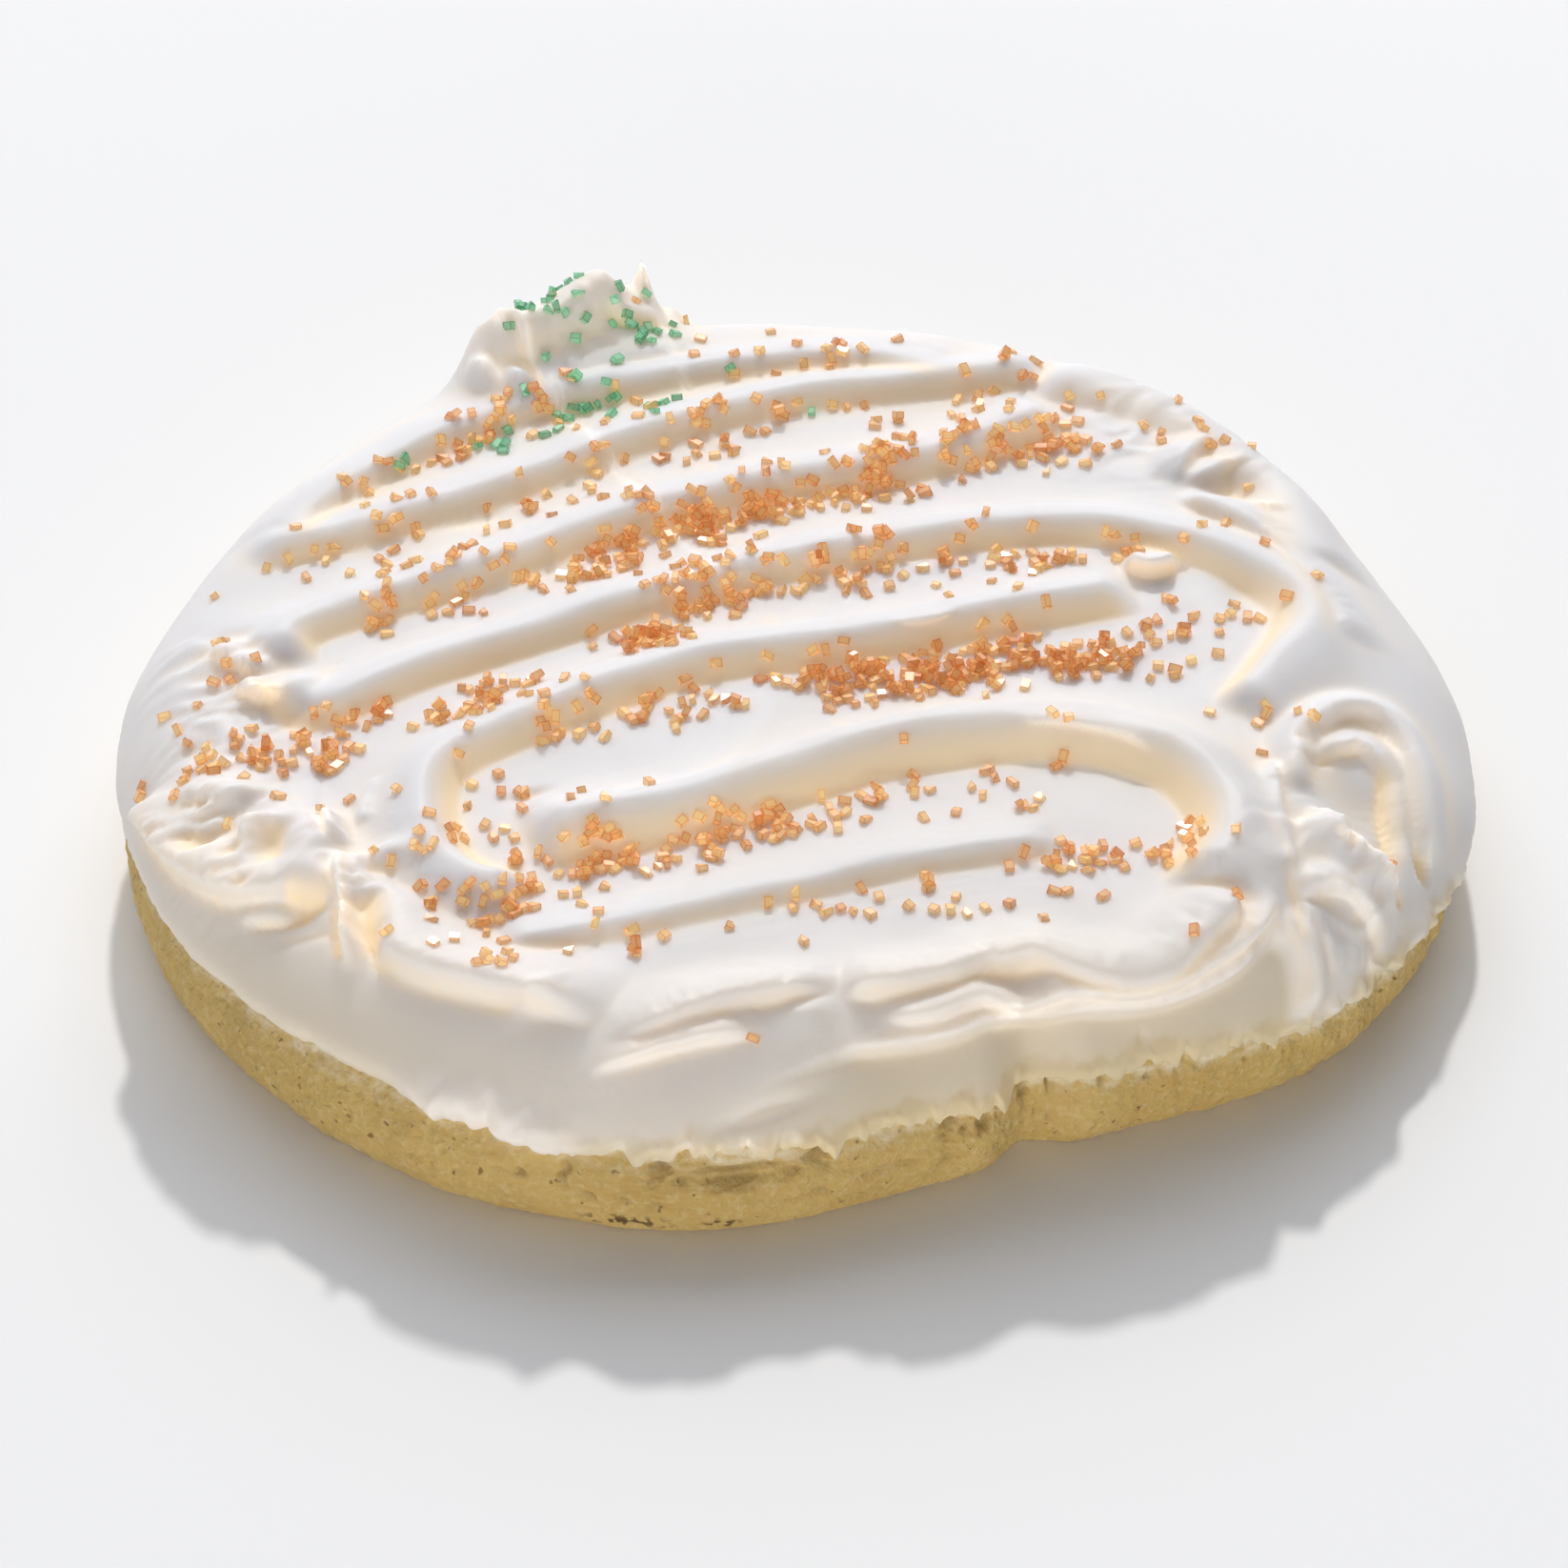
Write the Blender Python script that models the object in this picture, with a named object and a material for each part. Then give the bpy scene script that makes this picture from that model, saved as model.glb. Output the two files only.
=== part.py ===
"""Iced sugar cookie in the outline of a small pumpkin.

A thick round biscuit with a short stem at the back (+Y) and a shallow notch
at the front (-Y) carries one spread of buttercream. A knife has pushed the
icing into curved ridges with wide troughs between them, and sugar crystals
lie in the troughs. The biscuit stands on the flat middle of its underside.

Lengths are in millimetres and are converted once, when a mesh is made.
"""

import math
import random

import bmesh
import bpy
import numpy as np
from mathutils import Matrix, Vector
from mathutils.geometry import delaunay_2d_cdt

MM = 0.001

# Biscuit: radius of its widest line at bearings 20 degrees apart, from +X towards +Y
BODY_RADII = (46.0, 46.3, 46.8, 46.6, 46.5, 45.7, 46.0, 46.4, 48.0,
              48.7, 48.5, 47.8, 45.9, 42.0, 41.8, 46.4, 48.0, 47.2)
BISCUIT_HEIGHT = 12.0
BELLY_HEIGHT = 4.0
UNDERSIDE_INSET = 2.2
STEM_BEARING, STEM_HALF_ANGLE, STEM_LENGTH, STEM_FLANK = 89.7, 7.9, 4.6, 2.4
NOTCH_BEARING, NOTCH_HALF_ANGLE, NOTCH_DEPTH = 271.5, 6.0, 1.6

# Icing: inset of the shoulder and height of the lower edge, at bearings 30 degrees apart
SHOULDER_INSETS = (11.5, 8.0, 7.0, 6.5, 7.0, 7.5, 9.0, 11.0, 11.0, 6.5, 8.5, 12.5)
EDGE_HEIGHTS = (6.0, 6.8, 7.0, 7.0, 6.8, 6.6, 7.2, 7.8, 7.2, 6.9, 6.0, 5.2)
ICING_GAP = 0.3
TROUGH_THICKNESS = 1.8
EDGE_THICKNESS = 0.75
EDGE_ROUND = 2.6

# Ridges: line of the crest, height over the trough, reach of the steep and gentle sides.
# The steep side is on the right hand of the way the points run.
RIDGES = (
    ("back rim", ((-30, 27), (-24, 31.5), (-12, 36), (0, 36.5), (10, 35.5), (19, 33), (25, 28)),
     2.5, 1.8, 3.2),
    ("second", ((-32, 27), (-22, 27), (-12, 28), (-1, 30), (9, 30.5), (20, 29), (31, 26)),
     3.0, 1.7, 4.2),
    ("third", ((-34, 13), (-31, 17.5), (-17, 19), (-8, 20.5), (5, 21), (18, 19.5), (30, 21)),
     3.2, 1.7, 4.4),
    ("fourth", ((-34, 13), (-33.5, 8), (-25, 9.5), (-12, 11), (1, 11.5), (14, 10.5), (25.5, 7.5),
                (32.5, 2), (36.2, -4), (35.5, -9), (31, -13.5), (26.5, -17)), 3.3, 1.7, 4.4),
    ("fifth", ((-26, -16.5), (-30, -14), (-31, -8.5), (-28, -1.5), (-19, 1.5), (-6.5, 3),
               (5.5, 1), (16, 0.2), (26, -1.5)), 3.2, 1.7, 4.4),
    ("sixth", ((-25, -11), (-13, -12), (0, -11), (9, -12), (16, -15), (20.8, -20),
               (22, -25), (20.5, -30), (16, -34.5)), 3.2, 1.7, 4.4),
    ("bench", ((-31, -20.5), (-20, -22), (-8.5, -22.5), (3, -23.5), (10, -25)), 1.5, 1.8, 3.4),
    ("front lip", ((20, -35), (13, -37.5), (1, -36), (-12, -31.5), (-26, -28.5), (-32, -23),
                   (-37, -15), (-37.5, -7)), 1.3, 2.0, 2.0),
    ("swirl", ((24.5, -29), (28, -22.5), (33, -18.5), (35, -22), (33, -28), (30.5, -34)),
     1.5, 1.8, 2.0),
    ("right rim", ((30, 26), (35.5, 21), (39.5, 13), (40.5, 5), (38.5, -4)), 1.5, 1.8, 2.4),
)
RELIEF_FADE = 6.0

# Heaps of icing: middle, half widths, height
LUMPS = (
    ("stem curl", (-4, 43), (7.0, 4.2), 3.6),
    ("stem curl end", (3, 44), (4.2, 3.2), 2.4),
    ("stem tip", (6.7, 44.5), (1.7, 1.7), 2.6),
    ("torn left heap", (-40, -6), (5.0, 6.0), 1.4),
    ("left mass", (-33, -5), (4.0, 5.0), 1.2),
)

# Sugar drifts for the fused crystals: two ends, width, count
SUGAR_DRIFTS = (
    ((-24, 30), (-4, 33.5), 4.0, 13),
    ((-8, 43), (5, 42), 5.0, 8),
    ((-20, 24), (18, 26.5), 4.5, 20),
    ((-27, 14.5), (22, 16), 4.0, 28),
    ((-27, 5), (16, 6.5), 4.5, 28),
    ((-38, 0), (-32, 2), 4.0, 7),
    ((-18, -5), (22, -5.5), 5.0, 36),
    ((-16, -17), (9, -17), 4.5, 20),
    ((-26, -18), (-10, -17.5), 4.0, 10),
    ((-22, -26), (16, -28), 6.0, 18),
    ((28, 20), (33, 4), 4.0, 9),
)
CRYSTAL_LENGTH = (1.2, 1.7)
CRYSTAL_WIDTH = (0.9, 1.2)

# Fineness of the meshes
RIM_POINTS = 132
ROW_STEP, COLUMN_STEP = 1.37, 2.1
UNDER_STEP = 5.0
ROW_CURVE = 0.0035
SIDE_RINGS, UNDER_RINGS = 3, 3


def around(values, bearing):
    """Read a ring of evenly spaced values at any bearing, along a smooth closed curve."""
    values = np.asarray(values, float)
    count = len(values)
    place = np.asarray(bearing, float) / 360.0 * count
    index = np.floor(place).astype(int)
    t = place - index
    p0, p1, p2, p3 = (values[(index + k) % count] for k in (-1, 0, 1, 2))
    return p1 + 0.5 * t * (p2 - p0 + t * (2 * p0 - 5 * p1 + 4 * p2 - p3
                                          + t * (3 * (p1 - p2) + p3 - p0)))


def turn_from(bearing, centre):
    """Signed angle in degrees from a centre bearing, between -180 and 180."""
    return (np.asarray(bearing, float) - centre + 180.0) % 360.0 - 180.0


def smooth(value):
    """Ease from 0 to 1 over the unit interval."""
    value = np.clip(value, 0.0, 1.0)
    return value * value * (3.0 - 2.0 * value)


def body_radius(bearing):
    """Radius of the biscuit's widest line, with its stem and its notch."""
    stem = smooth((STEM_HALF_ANGLE + STEM_FLANK / 2 - abs(turn_from(bearing, STEM_BEARING)))
                  / STEM_FLANK)
    notch = smooth(1.0 - abs(turn_from(bearing, NOTCH_BEARING)) / NOTCH_HALF_ANGLE)
    return around(BODY_RADII, bearing) + STEM_LENGTH * stem - NOTCH_DEPTH * notch


def shoulder_arc(inset):
    """Length over the rounded shoulder, from the flat top down to the widest line."""
    drop = BISCUIT_HEIGHT - BELLY_HEIGHT
    return math.pi / 2 * np.sqrt((inset ** 2 + drop ** 2) / 2)


def over_biscuit(bearing, reach, lift):
    """Point reached by walking outwards over the biscuit's top, lifted off its surface.

    The walk goes `reach` mm along the surface from the middle towards `bearing`.
    """
    radius = body_radius(bearing)
    inset = around(SHOULDER_INSETS, bearing)
    drop = BISCUIT_HEIGHT - BELLY_HEIGHT
    flat = radius - inset
    turn = np.clip((reach - flat) / shoulder_arc(inset), 0.0, 1.0) * math.pi / 2
    out = np.minimum(reach, flat) + inset * np.sin(turn)
    height = BELLY_HEIGHT + drop * np.cos(turn)
    normal_out, normal_up = drop * np.sin(turn), inset * np.cos(turn)
    scale = lift / np.hypot(normal_out, normal_up)
    out, height = out + normal_out * scale, height + normal_up * scale
    angle = np.radians(bearing)
    return np.stack([out * np.cos(angle), out * np.sin(angle), height], -1)


def edge_reach(bearing):
    """Walk from the middle to the lower edge of the icing."""
    inset = around(SHOULDER_INSETS, bearing)
    rise = (around(EDGE_HEIGHTS, bearing) - BELLY_HEIGHT) / (BISCUIT_HEIGHT - BELLY_HEIGHT)
    turn = np.arccos(np.clip(rise, 0.0, 1.0)) / (math.pi / 2)
    return body_radius(bearing) - inset + turn * shoulder_arc(inset)


def through(points, steps=6):
    """Smooth open curve through points, as a polyline."""
    knots = np.asarray(points, float)
    knots = np.vstack([2 * knots[0] - knots[1], knots, 2 * knots[-1] - knots[-2]])
    out = []
    for p0, p1, p2, p3 in zip(knots, knots[1:], knots[2:], knots[3:]):
        for t in np.arange(steps) / steps:
            out.append(p1 + 0.5 * t * (p2 - p0 + t * (2 * p0 - 5 * p1 + 4 * p2 - p3
                                                      + t * (3 * (p1 - p2) + p3 - p0))))
    return np.array(out + [knots[-2]])


def beside(points, line):
    """Distance from a line (positive on its right hand) and the place along it, 0 to 1."""
    start, step = line[:-1], np.diff(line, axis=0)
    length = np.hypot(step[:, 0], step[:, 1])
    run = np.concatenate([[0.0], np.cumsum(length)])
    offset = points[:, None] - start[None]
    along = np.clip((offset * step).sum(-1) / length ** 2, 0.0, 1.0)
    away = offset - along[..., None] * step
    distance = np.hypot(away[..., 0], away[..., 1])
    nearest = distance.argmin(1)
    row = np.arange(len(points))
    side = step[nearest, 0] * away[row, nearest, 1] - step[nearest, 1] * away[row, nearest, 0]
    place = (run[nearest] + along[row, nearest] * length[nearest]) / run[-1]
    return np.where(side > 0, -1.0, 1.0) * distance[row, nearest], place


def ridge_height(points):
    """Height of the ridges over the trough floor at points of the spread-out surface."""
    total = np.zeros(len(points))
    for _, crest, height, steep, gentle in RIDGES:
        distance, place = beside(points, through(crest))
        fall = np.where(distance > 0, np.exp(-(distance / steep) ** 2),
                        np.exp(-np.abs(distance / gentle) ** 1.4))
        ends = smooth(place / 0.06 + 0.35) * smooth((1 - place) / 0.06 + 0.35)
        total += (height * fall * ends) ** 4
    return total ** 0.25


def lump_height(points):
    """Height of the rounded heaps of icing."""
    total = np.zeros(len(points))
    for _, (x, y), (wide, deep), height in LUMPS:
        away = ((points[:, 0] - x) / wide) ** 2 + ((points[:, 1] - y) / deep) ** 2
        total += height * np.exp(-away)
    return total


def iced_surface(points):
    """Outer surface of the icing over points of the spread-out plane."""
    bearing = np.degrees(np.arctan2(points[:, 1], points[:, 0])) % 360.0
    reach = np.hypot(points[:, 0], points[:, 1])
    inside = edge_reach(bearing) - reach
    thickness = EDGE_THICKNESS + (TROUGH_THICKNESS - EDGE_THICKNESS) * smooth(inside / EDGE_ROUND)
    relief = (ridge_height(points) + lump_height(points)) * smooth(inside / RELIEF_FADE)
    return over_biscuit(bearing, reach, ICING_GAP + thickness + relief)


def rim_bearings():
    """Bearings that step round the outline in even lengths."""
    fine = np.linspace(0.0, 360.0, 1441)
    angle = np.radians(fine)
    radius = body_radius(fine)
    x, y = radius * np.cos(angle), radius * np.sin(angle)
    run = np.concatenate([[0.0], np.cumsum(np.hypot(np.diff(x), np.diff(y)))])
    return np.interp(np.arange(RIM_POINTS) / RIM_POINTS * run[-1], run, fine)


def plane_points(bearing, reach):
    """Points of the spread-out plane from bearing and walk."""
    angle = np.radians(bearing)
    return np.stack([reach * np.cos(angle), reach * np.sin(angle)], -1)


def spread_mesh(row_step, column_step):
    """Triangles over the spread-out icing, in staggered rows that follow the ridges.

    The rim comes first in the points, so sheets made with different steps share it.
    """
    bearing = rim_bearings()
    rim = plane_points(bearing, edge_reach(bearing))
    rows = np.arange(-70.0, 76.0, row_step)
    columns = np.arange(-66.0, 66.0, column_step)
    x, y = np.meshgrid(columns, rows)
    x = x + column_step / 2 * (np.arange(len(rows)) % 2)[:, None]
    y = y - ROW_CURVE * (x - 2.0) ** 2
    inner = np.stack([x.ravel(), y.ravel()], 1)
    away = np.degrees(np.arctan2(inner[:, 1], inner[:, 0])) % 360.0
    inner = inner[np.hypot(inner[:, 0], inner[:, 1]) < edge_reach(away) - 0.6 * column_step]
    points = np.vstack([rim, inner])
    squash = np.array([row_step / column_step, 1.0])
    count = len(rim)
    edges = [(k, (k + 1) % count) for k in range(count)]
    out = delaunay_2d_cdt([Vector(p * squash) for p in points], edges, [list(range(count))],
                          1, 1e-6, False)
    plane = np.array([list(p) for p in out[0]]) / squash
    return plane, [tuple(f) for f in out[2] if within_rim(plane, sorted(f))]


def within_rim(plane, face):
    """Whether a triangle lies inside the rim: one that spans a hollow of the rim runs backwards."""
    if face[2] >= RIM_POINTS:
        return True
    (x0, y0), (x1, y1), (x2, y2) = plane[face]
    return (x1 - x0) * (y2 - y0) - (x2 - x0) * (y1 - y0) > 0


def solid(name, points, faces, material):
    """Mesh object from points in millimetres, closed, with its faces turned outwards."""
    mesh = bpy.data.meshes.new(name)
    mesh.from_pydata([tuple(p) for p in np.asarray(points) * MM], [], faces)
    work = bmesh.new()
    work.from_mesh(mesh)
    bmesh.ops.recalc_face_normals(work, faces=work.faces)
    bmesh.ops.triangulate(work, faces=work.faces)
    work.to_mesh(mesh)
    work.free()
    mesh.materials.append(material)
    result = bpy.data.objects.new(name, mesh)
    bpy.context.scene.collection.objects.link(result)
    return result


def paint(name, colour, roughness):
    """Plain material."""
    material = bpy.data.materials.new(name)
    material.use_nodes = True
    shader = material.node_tree.nodes["Principled BSDF"]
    shader.inputs["Base Color"].default_value = (*colour, 1.0)
    shader.inputs["Roughness"].default_value = roughness
    return material


def make_biscuit(under):
    """Biscuit: the top follows the underside of the icing, then rings run down to the base."""
    plane, faces = under
    bearing = np.degrees(np.arctan2(plane[:, 1], plane[:, 0])) % 360.0
    points = [over_biscuit(bearing, np.hypot(plane[:, 0], plane[:, 1]), 0.0)]
    faces = list(faces)
    rim = rim_bearings()
    radius, start = body_radius(rim), edge_reach(rim)
    end = radius - around(SHOULDER_INSETS, rim) + shoulder_arc(around(SHOULDER_INSETS, rim))
    rings = [over_biscuit(rim, start + (end - start) * k / SIDE_RINGS, 0.0)
             for k in range(1, SIDE_RINGS + 1)]
    for k in range(1, UNDER_RINGS + 1):
        turn = math.pi / 2 * k / UNDER_RINGS
        out = radius - UNDERSIDE_INSET * (1 - math.cos(turn))
        flat = plane_points(rim, out)
        rings.append(np.column_stack([flat, np.full(RIM_POINTS, BELLY_HEIGHT * (1 - math.sin(turn)))]))
    above = list(range(RIM_POINTS))
    for ring in rings:
        first = sum(len(p) for p in points)
        points.append(ring)
        below = list(range(first, first + RIM_POINTS))
        faces += strip(above, below)
        above = below
    faces.append(above)
    return np.vstack(points), faces


def strip(above, below):
    """Quads between two rings of the same count."""
    count = len(above)
    return [(above[k], above[(k + 1) % count], below[(k + 1) % count], below[k])
            for k in range(count)]


def make_icing(over, under):
    """Icing: ridged outer sheet, inner sheet that follows the biscuit, joined round the edge."""
    outer_plane, outer_faces = over
    inner_plane, inner_faces = under
    bearing = np.degrees(np.arctan2(inner_plane[:, 1], inner_plane[:, 0])) % 360.0
    reach = np.hypot(inner_plane[:, 0], inner_plane[:, 1])
    inner = over_biscuit(bearing, reach, ICING_GAP)
    first = len(outer_plane)
    faces = list(outer_faces) + [tuple(first + k for k in face[::-1]) for face in inner_faces]
    faces += strip(list(range(RIM_POINTS)), list(range(first, first + RIM_POINTS)))
    return np.vstack([iced_surface(outer_plane), inner]), faces


def crystal_places(draw):
    """Spread the sugar crystals along the drifts, by the length and density of each."""
    places = []
    for (x0, y0), (x1, y1), width, count in SUGAR_DRIFTS:
        for k in range(count):
            t = (k + 0.5 + draw.uniform(-0.3, 0.3)) / count
            side = draw.uniform(-0.5, 0.5) * width
            place = (x0 + (x1 - x0) * t, y0 + (y1 - y0) * t + side)
            if all(math.dist(place, other) > CRYSTAL_LENGTH[1] for other in places):
                places.append(place)
    return places


def make_crystals(material):
    """Blocky sugar crystals, each sunk about halfway into the icing."""
    draw = random.Random(11)
    group = bpy.data.collections.new("crystals")
    bpy.context.scene.collection.children.link(group)
    places = crystal_places(draw)
    centres = iced_surface(np.array(places))
    for k, centre in enumerate(centres):
        long, wide = draw.uniform(*CRYSTAL_LENGTH), draw.uniform(*CRYSTAL_WIDTH)
        turn = (Matrix.Rotation(draw.uniform(0, math.tau), 3, "Z")
                @ Matrix.Rotation(draw.uniform(-0.5, 0.5), 3, "X")
                @ Matrix.Rotation(draw.uniform(-0.4, 0.4), 3, "Y"))
        corners = [turn @ Vector((long * a, wide * b, wide * c)) / 2 + Vector(centre)
                   + Vector((0, 0, 0.12 * wide))
                   for a in (-1, 1) for b in (-1, 1) for c in (-1, 1)]
        faces = [(0, 1, 3, 2), (4, 6, 7, 5), (0, 4, 5, 1), (2, 3, 7, 6), (0, 2, 6, 4), (1, 5, 7, 3)]
        piece = solid(f"crystal_{k}", [list(c) for c in corners], faces, material)
        bpy.context.scene.collection.objects.unlink(piece)
        group.objects.link(piece)
    return group


def fuse(target, group):
    """Join a collection of pieces to the target with one union, then remove the pieces."""
    union = target.modifiers.new("crystals", "BOOLEAN")
    union.operation = "UNION"
    union.operand_type = "COLLECTION"
    union.collection = group
    union.solver = "MANIFOLD"
    bpy.context.view_layer.objects.active = target
    bpy.ops.object.modifier_apply(modifier=union.name)
    for piece in list(group.objects):
        bpy.data.objects.remove(piece, do_unlink=True)
    bpy.data.collections.remove(group)


def centre_on_origin(pieces):
    """Move the pieces together so the middle of their plan lies on the origin."""
    corners = np.array([list(v.co) for piece in pieces for v in piece.data.vertices])
    low, high = corners.min(0), corners.max(0)
    shift = Vector((-(low[0] + high[0]) / 2, -(low[1] + high[1]) / 2, -low[2]))
    for piece in pieces:
        piece.data.transform(Matrix.Translation(shift))
    return shift


def main():
    """Build the biscuit and the sugared icing."""
    for existing in list(bpy.data.objects):
        bpy.data.objects.remove(existing, do_unlink=True)
    under = spread_mesh(UNDER_STEP, UNDER_STEP)
    over = spread_mesh(ROW_STEP, COLUMN_STEP)
    biscuit = solid("biscuit", *make_biscuit(under), paint("baked_dough", (0.72, 0.58, 0.30), 0.8))
    icing_material = paint("buttercream", (0.93, 0.91, 0.87), 0.45)
    icing = solid("icing", *make_icing(over, under), icing_material)
    fuse(icing, make_crystals(icing_material))
    shift = centre_on_origin([biscuit, icing])
    print("moved by", [round(c / MM, 3) for c in shift],
          "triangles", {o.name: len(o.data.polygons) for o in (biscuit, icing)})


if __name__ == "__main__":
    main()
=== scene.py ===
"""Looks of an iced sugar cookie: baked dough, knife-spread buttercream and coarse sugar."""

import logging
import math
from collections.abc import Callable
from dataclasses import dataclass, field
from enum import Enum
from typing import Any

import bmesh
import bpy
import numpy as np
from mathutils import Matrix, Vector
from mathutils.bvhtree import BVHTree


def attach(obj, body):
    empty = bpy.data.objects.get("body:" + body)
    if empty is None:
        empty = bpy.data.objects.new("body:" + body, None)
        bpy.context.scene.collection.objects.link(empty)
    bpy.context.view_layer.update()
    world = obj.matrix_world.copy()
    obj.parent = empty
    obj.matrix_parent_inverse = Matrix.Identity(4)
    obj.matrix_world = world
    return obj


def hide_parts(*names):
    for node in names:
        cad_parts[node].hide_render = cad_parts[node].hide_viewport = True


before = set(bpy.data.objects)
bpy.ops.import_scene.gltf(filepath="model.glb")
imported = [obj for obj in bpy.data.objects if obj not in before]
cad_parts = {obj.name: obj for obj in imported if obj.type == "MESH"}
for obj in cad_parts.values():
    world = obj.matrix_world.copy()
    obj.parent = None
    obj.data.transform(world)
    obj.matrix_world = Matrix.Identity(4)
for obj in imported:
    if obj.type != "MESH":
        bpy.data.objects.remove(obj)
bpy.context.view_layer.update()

LOG = logging.getLogger("cookie")
MM = 0.001
MM_PER_DEGREE = 0.8
Array = np.ndarray


# Helpers for numbers

def linear(hex_colour: str) -> tuple[float, float, float, float]:
    """Turn an sRGB hex colour into linear light.

    Args:
        hex_colour: Colour as "#RRGGBB".

    Returns:
        Red, green, blue and an alpha of 1.
    """
    parts = [int(hex_colour[k:k + 2], 16) / 255 for k in (1, 3, 5)]
    red, green, blue = (c / 12.92 if c <= 0.04045 else ((c + 0.055) / 1.055) ** 2.4 for c in parts)
    return red, green, blue, 1.0


def smooth(value: Array | float) -> Array:
    """Ease from 0 to 1 over the unit interval."""
    value = np.clip(value, 0.0, 1.0)
    return value * value * (3.0 - 2.0 * value)


def turn_from(bearing: Array, centre: float) -> Array:
    """Signed angle in degrees from a centre bearing, between -180 and 180."""
    return (np.asarray(bearing, float) - centre + 180.0) % 360.0 - 180.0


def spline(p0: Array, p1: Array, p2: Array, p3: Array, t: Array | float) -> Array:
    """Smooth curve from p1 to p2, for t from 0 to 1, with p0 and p3 as neighbours."""
    return p1 + 0.5 * t * (p2 - p0 + t * (2 * p0 - 5 * p1 + 4 * p2 - p3
                                          + t * (3 * (p1 - p2) + p3 - p0)))


def around(values: tuple[float, ...], bearing: Array) -> Array:
    """Read a ring of evenly spaced values at any bearing, along a smooth closed curve.

    Args:
        values: Values at even bearings, the first at 0 degrees.
        bearing: Bearings in degrees.

    Returns:
        The value at each bearing.
    """
    ring = np.asarray(values, float)
    place = np.asarray(bearing, float) / 360.0 * len(ring)
    index = np.floor(place).astype(int)
    return spline(*(ring[(index + k) % len(ring)] for k in (-1, 0, 1, 2)), place - index)


def through(points: tuple[tuple[float, float], ...], steps: int = 7) -> Array:
    """Smooth open curve through points.

    Args:
        points: Points of the plane in millimetres.
        steps: Short lines to each stretch.

    Returns:
        The curve as a polyline.
    """
    knots = np.asarray(points, float)
    knots = np.vstack([2 * knots[0] - knots[1], knots, 2 * knots[-1] - knots[-2]])
    out = [spline(*four, t) for four in zip(knots, knots[1:], knots[2:], knots[3:])
           for t in np.arange(steps) / steps]
    return np.array(out + [knots[-2]])


def oval(x: Array, y: Array, middle: tuple[float, float], half: tuple[float, float]) -> Array:
    """Squared distance from the middle of an oval, 1 on its rim."""
    return ((x - middle[0]) / half[0]) ** 2 + ((y - middle[1]) / half[1]) ** 2


class Grain:
    """Seeded smooth noise over a plane, between about -1 and 1."""

    def __init__(self, seed: int) -> None:
        """Draw the slopes of the noise."""
        angle = np.random.default_rng(seed).uniform(0, math.tau, (64, 64))
        self.slope = np.stack([np.cos(angle), np.sin(angle)], -1)

    def at(self, x: Array, y: Array, size: float) -> Array:
        """Noise with features about as wide as the size."""
        x, y = np.asarray(x, float) / size, np.asarray(y, float) / size
        i, j = np.floor(x).astype(int), np.floor(y).astype(int)
        u, v = x - i, y - j
        corner = {}
        for a in (0, 1):
            for b in (0, 1):
                slope = self.slope[(i + a) % 64, (j + b) % 64]
                corner[a, b] = slope[..., 0] * (u - a) + slope[..., 1] * (v - b)
        fu, fv = (t * t * t * (t * (t * 6 - 15) + 10) for t in (u, v))
        low = corner[0, 0] + fu * (corner[1, 0] - corner[0, 0])
        high = corner[0, 1] + fu * (corner[1, 1] - corner[0, 1])
        return 1.6 * (low + fv * (high - low))

    def layers(self, x: Array, y: Array, size: float, count: int = 3) -> Array:
        """Sum of noises, each half as wide and half as strong as the last."""
        return sum(self.at(x + 17.3 * k, y - 9.1 * k, size / 2 ** k) / 2 ** k
                   for k in range(count))


# Shape of the cookie

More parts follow.
